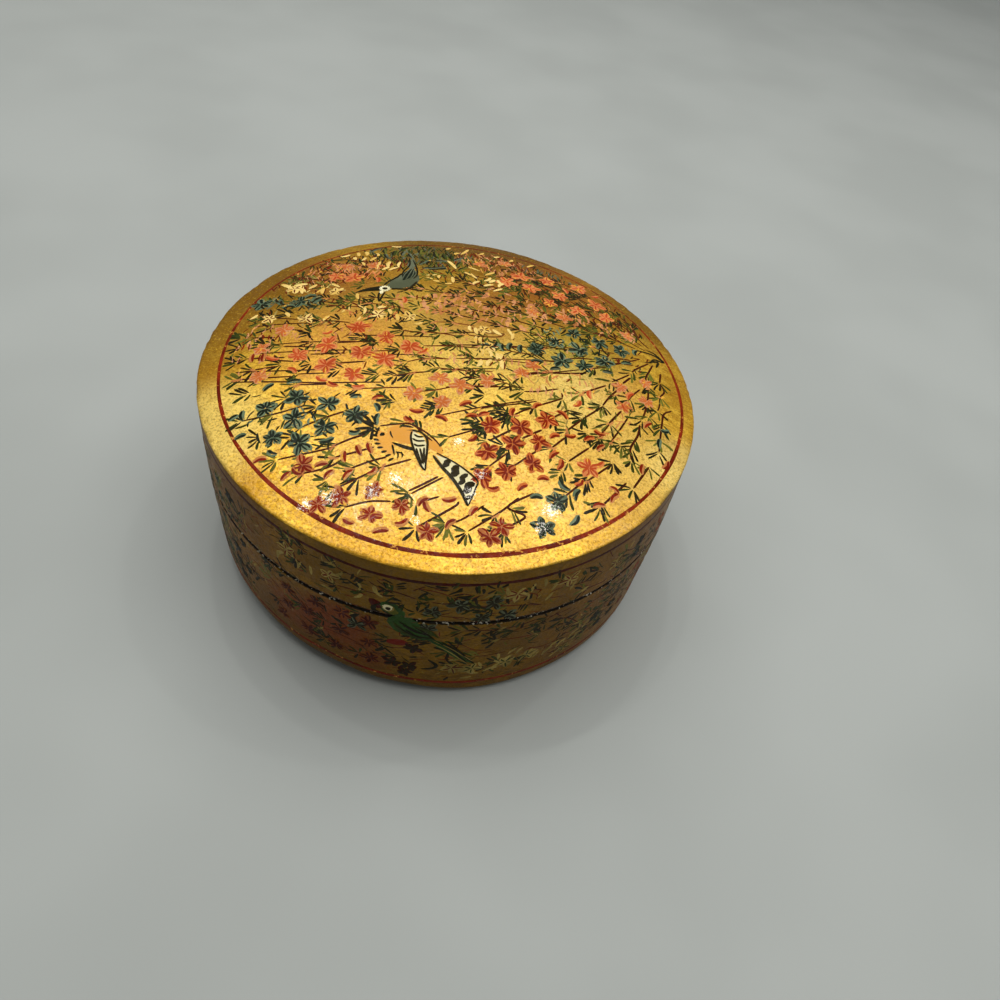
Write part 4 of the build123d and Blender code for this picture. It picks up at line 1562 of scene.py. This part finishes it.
# %% The slate bird's body and tail, at the back on the left
SLATE_BODY = [(-24.4, 21.6), (-21.8, 24), (-19.8, 27), (-19.4, 31), (-20, 36)]
brush(CROWN, "slate", SLATE_BODY, [0, 4.6, 7.2, 6.0, 3.2, 0], 0.12, base=0.06)
brush(CROWN, "slate", [(-20, 34), (-20.6, 38), (-21.4, 43)], [0, 2.6, 1.8, 0], 0.1, base=0.06)
brush(CROWN, "navy", [(-20.6, 26.6), (-19.8, 30), (-19.6, 35.2)], [0, 3.2, 3.0, 0], 0.08, base=0.16)
for points in (
    [(-20.8, 27.6), (-20.8, 31), (-19.9, 36)],
    [(-19.9, 27), (-19.7, 31), (-19.5, 36.4)],
    [(-18.9, 27.6), (-18.7, 31), (-19.2, 35.6)],
):
    brush(CROWN, "slate", points, 0.32, 0.05, 0.2, 0.25, base=0.26)
for points, width in (
    ([(-22.6, 21.4), (-18.3, 22.4), (-17.2, 24.8), (-16.7, 27.4)], 0.75),
    ([(-24.8, 22.6), (-24.2, 25), (-22.6, 28), (-21.8, 31)], 0.6),
    ([(-18, 28.4), (-17.6, 31.6), (-19, 36.6), (-21, 41)], 0.5),
    ([(-21.6, 29.6), (-21.6, 33), (-21, 37), (-22.2, 42)], 0.5),
):
    brush(CROWN, "ink", points, width, 0.08, 0.2, 0.25, base=0.2)
print("its body is", round(SLATE_BODY[-1][1] - SLATE_BODY[0][1]), "mm long")

# %% Its long beak, its feet, and a ring of white round its eye
BEAK = [(-22.6, 22.2), (-25.5, 20.8), (-29, 19.1), (-31.8, 16.6)]
brush(CROWN, "ink", BEAK, [0, 2.6, 2.0, 1.0, 0], 0.1, base=0.12)
for points in ([(-25, 19.6), (-24.8, 17), (-24, 14)], [(-23.6, 19.4), (-23.8, 17), (-23.8, 14)]):
    brush(CROWN, "ink", points, 0.6, 0.07, 0.3, 0.3, base=0.12)
EYE = (-24.1, 21)
EYE_RING = [turn(*EYE, 2 * pi * k / 12, 1.15) for k in range(13)]
for here, there in zip(EYE_RING, EYE_RING[1:]):
    brush(CROWN, "white", [here, there], [0.9, 0.95, 0.9], 0.1, base=0.22)
dab(CROWN, "white", -24.5, 18.9, 95, 2.0, 1.1, 0.1, 0, 0.2)
dab(CROWN, "ink", *EYE, 0, 1.7, 1.6, 0.08, 0, 0.2)
print(len(EYE_RING) - 1, "strokes in the ring round its eye")

# %% A small leaf behind it, and teal leaves near it
brush(CROWN, "slate", [(-15.4, 36.2), (-13.2, 37.6), (-11, 39.4)], 1.3, 0.1, 0.2, 0.2, base=0.08)
for points in ([(-15.6, 36.6), (-13.4, 38.1), (-11.2, 39.9)], [(-15.2, 35.7), (-12.9, 37.1), (-10.8, 38.8)]):
    brush(CROWN, "ink", points, 0.45, 0.07, base=0.16)
TEAL_LEAVES = [
    (-40.3, 12.6, 60), (-38.8, 11.4, 100), (-41.6, 10.4, 130), (-49, 10.4, 130), (-50.6, 11.4, 140),
    (-46.6, 8.2, 20), (-42.4, 13.6, 20), (-53.6, 8.4, 120), (-16.4, 41, 60),
]
for x, y, degrees in TEAL_LEAVES:
    dab(CROWN, "teal", x, y, degrees, 3.4, 1.6, 0.09, 0.6, 0.08)
    dab(CROWN, "ink", x + 0.4, y - 0.3, degrees, 2.9, 0.8, 0.07, 0.6, 0.16)
print(len(TEAL_LEAVES), "teal leaves")

# %% Dark leaves behind its tail, each with an ink edge, and three small fans
SLATE_LEAVES = [
    (-30, 45, 110), (-27, 44.5, 95), (-24.5, 45, 90), (-22, 44, 120), (-33, 45.5, 60), (-17.5, 43, 130),
    (-15, 46.5, 120), (-12.5, 46.8, 115), (-10.3, 47, 100), (-13, 43, 20), (-7.4, 43, 80), (-17.5, 40, 70),
    (-15.5, 48.5, 110), (-8.5, 46.4, 60), (-28.5, 41.5, 120), (-20, 48, 100), (-6, 40, 60), (-25, 48.5, 70),
]
for x, y, degrees in SLATE_LEAVES:
    dab(CROWN, hand.choice(("slate", "leaf", "moss")), x, y, degrees, 4.2, 1.3, 0.08, 0.4, 0.06)
    dab(CROWN, "ink", x - 0.4, y, degrees, 3.4, 0.7, 0.07, 0.3, 0.13)
for x, y in ((-15.5, 31), (-14, 32.5), (-16, 29.5)):
    whisk(CROWN, x, y, 120, ("moss", "cream", "moss"), 5, 2.4, 70)
print(len(SLATE_LEAVES), "dark leaves")

# %% [markdown]
# ## The ring
#
# A thin red line frames the crown's garden. It is drawn while the box is turned under a resting hand, so
# it wavers a little and its width changes. A torus would be too perfect and would not lie on the dome.
# So it is one long stroke, through places whose distance from the middle is given every few degrees.

# %% The thin red ring that frames the garden
RING_RADII = {0: 59.4, -45: 59.0, -90: 58.8, -135: 58.0, 180: 57.2, 150: 57.4, 90: 58.0, 45: 58.3}
ring = []
for degrees in range(0, 366, 3):
    radius = around(RING_RADII, degrees)
    ring.append((radius * cos(radians(degrees)), radius * sin(radians(degrees))))
RING_WIDTHS = {-90: 1.25, -20: 1.0, 60: 0.7, 180: 0.85}
widths = [around(RING_WIDTHS, 6 * k) * hand.uniform(0.8, 1.12) for k in range(61)]
brush(CROWN, "ring", ring, widths, 0.06)
print("the ring is", min(RING_RADII.values()), "to", max(RING_RADII.values()), "mm from the middle")

# %% [markdown]
# ## The wall's garden
#
# The side wall has the same flowers, in a band between two red lines. The pattern runs straight over
# the seam, because the box was painted while it was closed. One mesh across the seam would tear when
# the lid lifts, so the lid's and the base's strokes are separate pieces. Places are in millimetres along
# the wall from the front line and up from the table.

# %% The two red lines round the wall
TOP_LINE = {-140: 50.0, -110: 49.4, -90: 48.7, -65: 49.2, -40: 49.8, 60: 49.4, 150: 49.6}
LOW_LINE = {-126: 8.4, -108: 7.9, -90: 6.5, -72: 5.5, -54: 5.6, 40: 7.0, 150: 7.6}
FULL_TURN = 2 * pi * WALL_RADIUS
for where, heights, pot, width in ((LID, TOP_LINE, "maroon", 1.05), (BASE, LOW_LINE, "ring", 1.15)):
    line = []
    for k in range(0, 121):
        arc = FULL_TURN * k / 120 - FULL_TURN / 2
        line.append((arc, around(heights, arc / WALL_RADIUS * 180 / pi - 90)))
    brush(where, pot, line, [width * hand.uniform(0.8, 1.15) for _ in range(61)], 0.05)
print("once round the wall is", round(FULL_TURN), "mm")


# %% Small strokes all round the wall
def wall_part(z):
    """The part that a stroke at this height is painted on."""
    return LID if z > SEAM_HEIGHT else BASE


# each is its pots, how many strokes, their direction, sway and length
WALL_MIXES = [
    (("ink", "leaf", "twig"), 620, 165, 45, 3.4),
    (("straw", "moss", "twig"), 300, 80, 60, 2.2),
    (("rust", "twig", "maroon"), 420, 170, 50, 3.0),
]
for pots, count, degrees, sway, length in WALL_MIXES:
    for _ in range(count):
        arc, z = hand.uniform(-FULL_TURN / 2, FULL_TURN / 2), hand.uniform(8.5, 48)
        aim = degrees + hand.uniform(-sway, sway)
        long = length * hand.uniform(0.6, 1.3)
        dab(wall_part(z), hand.choice(pots), arc, z, aim, long, 0.36, 0.055, hand.uniform(-0.3, 0.3))
print(sum(row[1] for row in WALL_MIXES), "small strokes on the wall")

# %% Whisks all round the wall, half of them on a stalk
WALL_WHISKS = 190
for _ in range(WALL_WHISKS):
    arc, z = hand.uniform(-FULL_TURN / 2, FULL_TURN / 2), hand.uniform(12, 44.5)
    aim = hand.choice((165, 180, 195, 210))
    whisk(wall_part(z), arc, z, aim, ("ink", "leaf", "ink"), 4, 3.6, 28)
    if hand.random() < 0.5:
        out = turn(arc, z, radians(aim + 180), 6.5)
        brush(wall_part(z), hand.choice(("maroon", "twig")), [(arc, z), turn(*out, 1.5, 0.4)], 0.36)
print(WALL_WHISKS, "whisks on the wall")

# %% The green bird's body, tail and neck, across the seam
brush(BASE, "parrot", [(-1, 33.6), (2.5, 31.6), (6, 28.6), (10.5, 26)], [2.5, 7.2, 7, 4, 0], 0.1)
brush(BASE, "parrot", [(8, 27), (12, 24), (16, 19), (20.5, 14.8)], [0, 3, 2.2, 1.4, 0], 0.1)
brush(LID, "parrot", [(0, 35.2), (1.6, 36.4), (2.6, 34.9)], [2, 3.4, 2, 0], 0.1)
print("its neck starts", round(35.2 - SEAM_HEIGHT, 1), "mm above the seam")

# %% Its head, with the eye in rings of moss, straw, white and ink, and its beak
HEAD = [
    ("parrot", -0.7, 37.4, -20, 5.4, 4.6, 0.1, 0.0),
    ("moss", -0.3, 37, -40, 4.2, 3, 0.08, 0.04),
    ("straw", -1.1, 37.4, -20, 3.1, 2.7, 0.08, 0.08),
    ("white", -1.2, 37.5, -20, 2.6, 2.2, 0.06, 0.12),
    ("ink", -1.1, 37.3, 0, 1.6, 1.5, 0.06, 0.15),
]
for pot, arc, z, degrees, length, width, lift, base in HEAD:
    dab(LID, pot, arc, z, degrees, length, width, lift, 0, base)
brush(LID, "maroon", [(-2.6, 36.6), (-4, 38), (-5.4, 39.4)], [1.4, 3, 1.2], 0.12)
brush(LID, "ink", [(-2.4, 38.8), (-4, 37.4), (-4.4, 35.6), (-2.6, 35.2)], [0, 1.1, 1.4, 0], 0.14)
brush(LID, "ink", [(-2, 39.4), (0.8, 39.6), (3, 38.2)], 0.45, 0.1, 0.2, 0.2)
print(len(HEAD), "dabs in its head, one on another")

# %% Its feathers: ink, then straw and green between, and a red flower under it
FEATHERS = [
    [(10.5, 26), (14, 22.5), (18.5, 16)],
    [(11.5, 26), (15.4, 22), (20.5, 15)],
    [(13, 26.4), (16.2, 21.5), (18, 19)],
    [(0.6, 31.4), (3.4, 28.8), (7, 26.8)],
    [(1.4, 33), (4.6, 30.6), (8, 28.4)],
    [(5, 31.6), (7.4, 29.6), (10, 26.6)],
    [(3, 30), (6, 27.6), (9.5, 27.4)],
    [(2.4, 31.8), (5.6, 29.4), (8.6, 29)],
]
for points in FEATHERS:
    brush(BASE, "ink", points, 0.5, 0.08, 0.2, 0.25, base=0.2)
for points in [(9, 25.6), (13.6, 21.6), (19, 15)], [(9.4, 26.6), (14.4, 22.6), (20, 16.4)]:
    brush(BASE, "straw", points, 0.28, 0.06, 0.3, 0.3, base=0.22)
for points in [(4.2, 32), (8, 30.4), (11, 27.4)], [(0, 32.6), (2.4, 29), (5.6, 26.6)]:
    brush(BASE, "leaf", points, [0, 1.4, 1.2, 0], 0.08, base=0.16)
dab(BASE, "red", 1.2, 23.4, 10, 5.4, 2.9, 0.08, 0.15)
print(len(FEATHERS), "ink feathers")

# %% Wall flowers that the front view shows: petals, the pot for their veins, and places
WALL_FLOWERS = {
    ("slate", "ink"): [
        (8.8, 38.4), (14.5, 41.5), (19.6, 36.4), (25.5, 36.6), (-8.5, 27), (8, 31.5), (22, 42),
    ],
    ("rust", "maroon"): [
        (-5.5, 29.5), (-12, 30), (-19, 29.2), (-12.5, 22), (-21.5, 23.5), (-27, 28), (-5.5, 20.5),
        (-14, 13.5), (-22, 14.5), (-27.5, 20.5), (-5, 13), (-30, 14),
    ],
    ("maroon", "ink"): [(5.2, 21.8), (3.6, 9.8), (4.5, 13), (0.5, 13.5)],
    ("straw", "twig"): [(-15, 42.5), (-26, 43.5), (27, 44.3), (39.5, 45), (54, 42.5), (15, 13.5)],
    ("straw", "leaf"): [(20, 12.5), (28.5, 13.5), (34, 14.5), (46, 10)],
}
for (pot, line), spots in WALL_FLOWERS.items():
    for arc, z in spots:
        veins = 1 if pot == "straw" else 2
        flower(wall_part(z), pot, line, arc, z, 2.8 * hand.uniform(0.9, 1.1), 0.55, veins)
print(sum(len(spots) for spots in WALL_FLOWERS.values()), "flowers on the front of the wall")

# %% Their stems
WALL_STEMS = [
    [(-1.5, 44), (1.5, 43.6), (5, 42.5)],
    [(5, 46.5), (9, 46), (12.5, 44.6)],
    [(34, 38), (28, 39.8), (22, 40.6), (17, 40.9)],
    [(32, 40.6), (31, 43.2), (24, 44.6)],
    [(-6, 45.2), (-10, 45.6), (-14, 46.8)],
    [(-6, 40), (-9, 40.5), (-13, 40)],
    [(-20, 46.5), (-25, 48)],
    [(-29, 48), (-25, 46), (-23.4, 42)],
    [(14, 45), (12, 42), (8, 42)],
    [(46, 41), (40, 42.5), (37, 46)],
    [(52, 36.5), (45, 38)],
    [(16, 36.8), (13, 36.8), (10.6, 37)],
    [(-6, 17.6), (-10, 18.9), (-15, 19.4), (-18.4, 18)],
    [(-20, 23.2), (-24.5, 22.4)],
    [(28, 19), (24, 18.6), (20, 18.6)],
    [(34, 24.5), (28, 25.2), (24.5, 25.6)],
    [(34, 32), (27, 30.6), (21, 30.8), (16, 31)],
    [(24, 21.2), (20, 21.8), (16, 25)],
    [(11, 17.8), (15, 17.2)],
    [(-30, 25), (-34, 27)],
    [(40, 29), (44, 26), (48, 21)],
    [(34, 18), (38, 16.4), (42, 17)],
]
for points in WALL_STEMS:
    stem(wall_part(points[0][1]), points, hand.choice(("maroon", "twig")), 0.42, petal="straw", reach=3.4)
print(len(WALL_STEMS), "stems on the front of the wall")

# %% Their whisks of leaves
FRONT_WHISKS = [
    (-22, 47, 200), (0, 46, 90), (12, 47.4, 120), (22, 47, 150), (30, 44, 200), (-1.5, 44, 170),
    (5.4, 37.4, 100), (-9.6, 43.4, 140), (28, 37.5, 140), (-17.5, 22.5, 200), (-17.5, 13.5, 180),
    (-8, 13.6, 200), (23, 27.4, 150), (-17, 30, 210), (24, 12, 200), (32.5, 12.5, 190), (-26, 46, 160),
    (44, 44, 180), (36, 28, 200), (43, 24, 210), (-2, 20.5, 250), (30, 32.5, 320), (-28, 33, 160),
    (18, 45.5, 170),
]
for arc, z, degrees in FRONT_WHISKS:
    whisk(wall_part(z), arc, z, degrees, ("ink", "leaf", "ink"), 5, 2.8, 60)
print(len(FRONT_WHISKS), "whisks")

# %% Straw petals, cream darkened as painted shade, small and loose, then larger and curled
STRAW_PETALS = [
    (-14.5, 46.4, 0), (-8, 42.4, 100), (-8, 39, 50), (-19.6, 41, 95), (-22.6, 40.6, 70), (-15.4, 37.4, 170),
    (24.4, 45.8, 100), (26.4, 42.6, 95), (30.4, 45.6, 80), (29.4, 42.8, 100), (21, 44.6, 20), (33, 46.6, 100),
    (36, 44, 60), (41, 42, 70), (31.6, 17.8, 60), (26.6, 14.6, 150), (19, 8, 10), (22, 14, 110),
    (17.6, 13, 60), (29.6, 18.6, 50), (37, 13, 60), (43, 9, 40), (49, 11, 60), (35, 40.6, 60),
    (-12.6, 44.4, 50), (26.2, 17, 95),
]
for arc, z, degrees in STRAW_PETALS:
    dab(wall_part(z), "straw", arc, z, degrees, 3.2, 0.9, 0.09, hand.uniform(-0.4, 0.4))
CURLED_PETALS = [
    (14, 13.5, 60), (15.6, 12.4, 60), (18.5, 12, 20), (20.5, 10.8, 150), (25, 10.8, 20), (26.6, 12, 60),
    (29, 14.8, 60), (30.6, 13.2, 80), (34.6, 15, 60), (36.4, 13.4, 60), (40.5, 12.4, 50), (42, 14.4, 50),
    (44.5, 13.4, 50), (48, 15.4, 50), (49.6, 13.4, 60), (52, 17, 50), (-3.4, 42.6, 120), (-28, 40, 60),
]
for arc, z, degrees in CURLED_PETALS:
    dab(wall_part(z), "straw", arc, z, degrees, 4.2, 1.15, 0.09, 0.7)
print(len(STRAW_PETALS) + len(CURLED_PETALS), "straw petals")

# %% A few ink marks under the bird
brush(BASE, "ink", [(9, 17.2), (11.2, 14.4), (10, 12.8), (7.4, 12.2)], 1.1, 0.09, 0.4, 0.4)
brush(BASE, "ink", [(15, 27.4), (15.2, 26), (16.6, 24.6)], 1.2, 0.09, 0.4, 0.4)
for arc, z, degrees in ((5.4, 17.6, 20), (5.6, 12.4, 120), (3, 8.6, 10), (-1, 16, 80), (14, 7.6, 60)):
    dab(BASE, "ink", arc, z, degrees, 2.2, 0.8, 0.09)
print("strokes so far:", len(strokes), "kinds, by part and colour")

# %% [markdown]
# ## The far side
#
# The photograph doesn't show the rest of the wall. The front could be mirrored, but the eye finds a
# mirror at once. So the band goes on round it with the same moves, laid out in short panels of one
# colour each, as the painter does it, and with the same seed every time.

# %% The same garden round the sides and the back
far_side = random.Random(63)
PANELS = [("navy", "ink"), ("rust", "ring"), ("straw", "leaf"), ("crimson", "ink"), ("teal", "navy")]
COLUMN_GAP = 5.9
FAR_START = 56.0
FAR_END = FULL_TURN - 38
arc = FAR_START
column = 0
while arc < FAR_END:
    pot, line = PANELS[column // 2 % len(PANELS)]
    for z in (43.8, 38.4, 29.6, 24.0, 18.2, 12.8):
        here = wall_part(z)
        u, v = arc + far_side.uniform(-1.6, 1.6), z + far_side.uniform(-0.8, 0.8)
        if far_side.random() < 0.62:
            flower(here, pot, line, u, v, 2.2 * far_side.uniform(0.85, 1.1))
        else:
            whisk(here, u, v, far_side.choice((170, 190, 200)), ("ink", "leaf", "moss"), 5, 2.8, 60)
        if far_side.random() < 0.55:
            end = (u - far_side.uniform(4, 6), v + far_side.uniform(-1.4, 1.2))
            stem(here, [(u + 2.6, v - 1.6), ((u + end[0]) / 2, v - 1.2), end], "maroon", 0.4, petal="straw")
        if far_side.random() < 0.4:
            dab(here, "straw", u + 2.8, v + 2, far_side.uniform(60, 120), 2.6, 0.7, 0.09, 0.3)
    arc += COLUMN_GAP
    column += 1
print(column, "columns of flowers, two to a panel")

# %% [markdown]
# ## From strokes to pieces
#
# Thousands of strokes could each be an object, but that would be slow to open and to move. So all
# strokes of one colour on one part become one mesh, which still moves with the part it is painted on.

# %% One mesh for each colour on each part
PARTS = {"crown": ("lid", "gilt_crown"), "lid_wall": ("lid", "gilt_wall"), "base_wall": ("base", "gilt_wall")}
for (layer, pot), (vertices, faces) in sorted(strokes.items()):
    name = layer + "_paint_" + pot
    mesh = bpy.data.meshes.new(name)
    mesh.from_pydata(vertices, [], faces)
    mesh.polygons.foreach_set("use_smooth", [True] * len(faces))
    mesh.materials.append(POTS[pot])
    mesh.update()
    made = put_in_scene(name, mesh)
    body, slot = PARTS[layer]
    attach(made, body)
    print(name, len(faces), "faces")

# %% [markdown]
# ## Table and light
#
# The box stands on a plain grey sheet. A wide soft light overhead makes the domed gold bright at the
# front, and three small lamps put sparks on the lacquer. A picture of a real room could light it too,
# but a dim even sky is enough: the wall faces away from the light and stays in the shade, as in the
# photograph, and its darker gold adds painted shade to that.


# %% The sheet it stands on, matt and very faintly mottled
def grey_sheet():
    material, tree, place = new_material("grey_sheet")
    mottles = add(tree, NOISE, Vector=place, Scale=blotches(90), Detail=2)
    mottled = add(tree, RANGE, EASED, Value=(mottles, "Fac"), From_Min=0.3, From_Max=0.7)
    colour = add(tree, MIX, COLOUR, i0=(mottled, 0), i6="#999c97", i7="#a0a39e")
    shader = add(tree, PRINCIPLED, Base_Color=(colour, 2), Roughness=0.8)
    add(tree, "ShaderNodeOutputMaterial", Surface=(shader, "BSDF"))
    return material


SHEET_SIZE = 6
bpy.ops.mesh.primitive_plane_add(size=SHEET_SIZE, location=(0, 0, 0))
floor = bpy.context.object
floor.name = "grey_sheet"
floor.data.materials.append(grey_sheet())
print("a sheet", SHEET_SIZE, "m across")

# %% Lamps, all aimed at the lid; places are in metres
LID_TOP = Vector((0, 0, 0.05))


def lamp_above(name, place, width, power):
    """A soft lamp of this width in metres and this power in watts."""
    lamp = put_in_scene(name, bpy.data.lights.new(name, "AREA"))
    lamp.data.size = width
    lamp.data.energy = power
    lamp.location = place
    lamp.rotation_euler = (Vector(place) - LID_TOP).to_track_quat("Z", "Y").to_euler()
    return lamp


overhead = lamp_above("overhead_softbox", (0.04, 0.14, 0.9), 1.5, 11.0)
overhead.data.shape = "RECTANGLE"
overhead.data.size_y = 0.85
SPARKS = {"left": (-0.2, 0.16, 0.88), "middle": (-0.09, 0.24, 0.88), "right": (0.26, 0.3, 0.86)}
for side, place in SPARKS.items():
    lamp_above("ceiling_lamp_" + side, place, 0.025, 0.45)
print(1 + len(SPARKS), "lamps")

# %% A dim even sky, and plain colours in the picture
sky = bpy.data.worlds.new("pale_room")
bpy.context.scene.world = sky
sky.use_nodes = True
glow = sky.node_tree.nodes["Background"]
glow.inputs["Color"].default_value = linear("#c9cccd")
glow.inputs["Strength"].default_value = 0.36
bpy.context.scene.view_settings.view_transform = "Standard"
print("sky strength", round(glow.inputs["Strength"].default_value, 2))
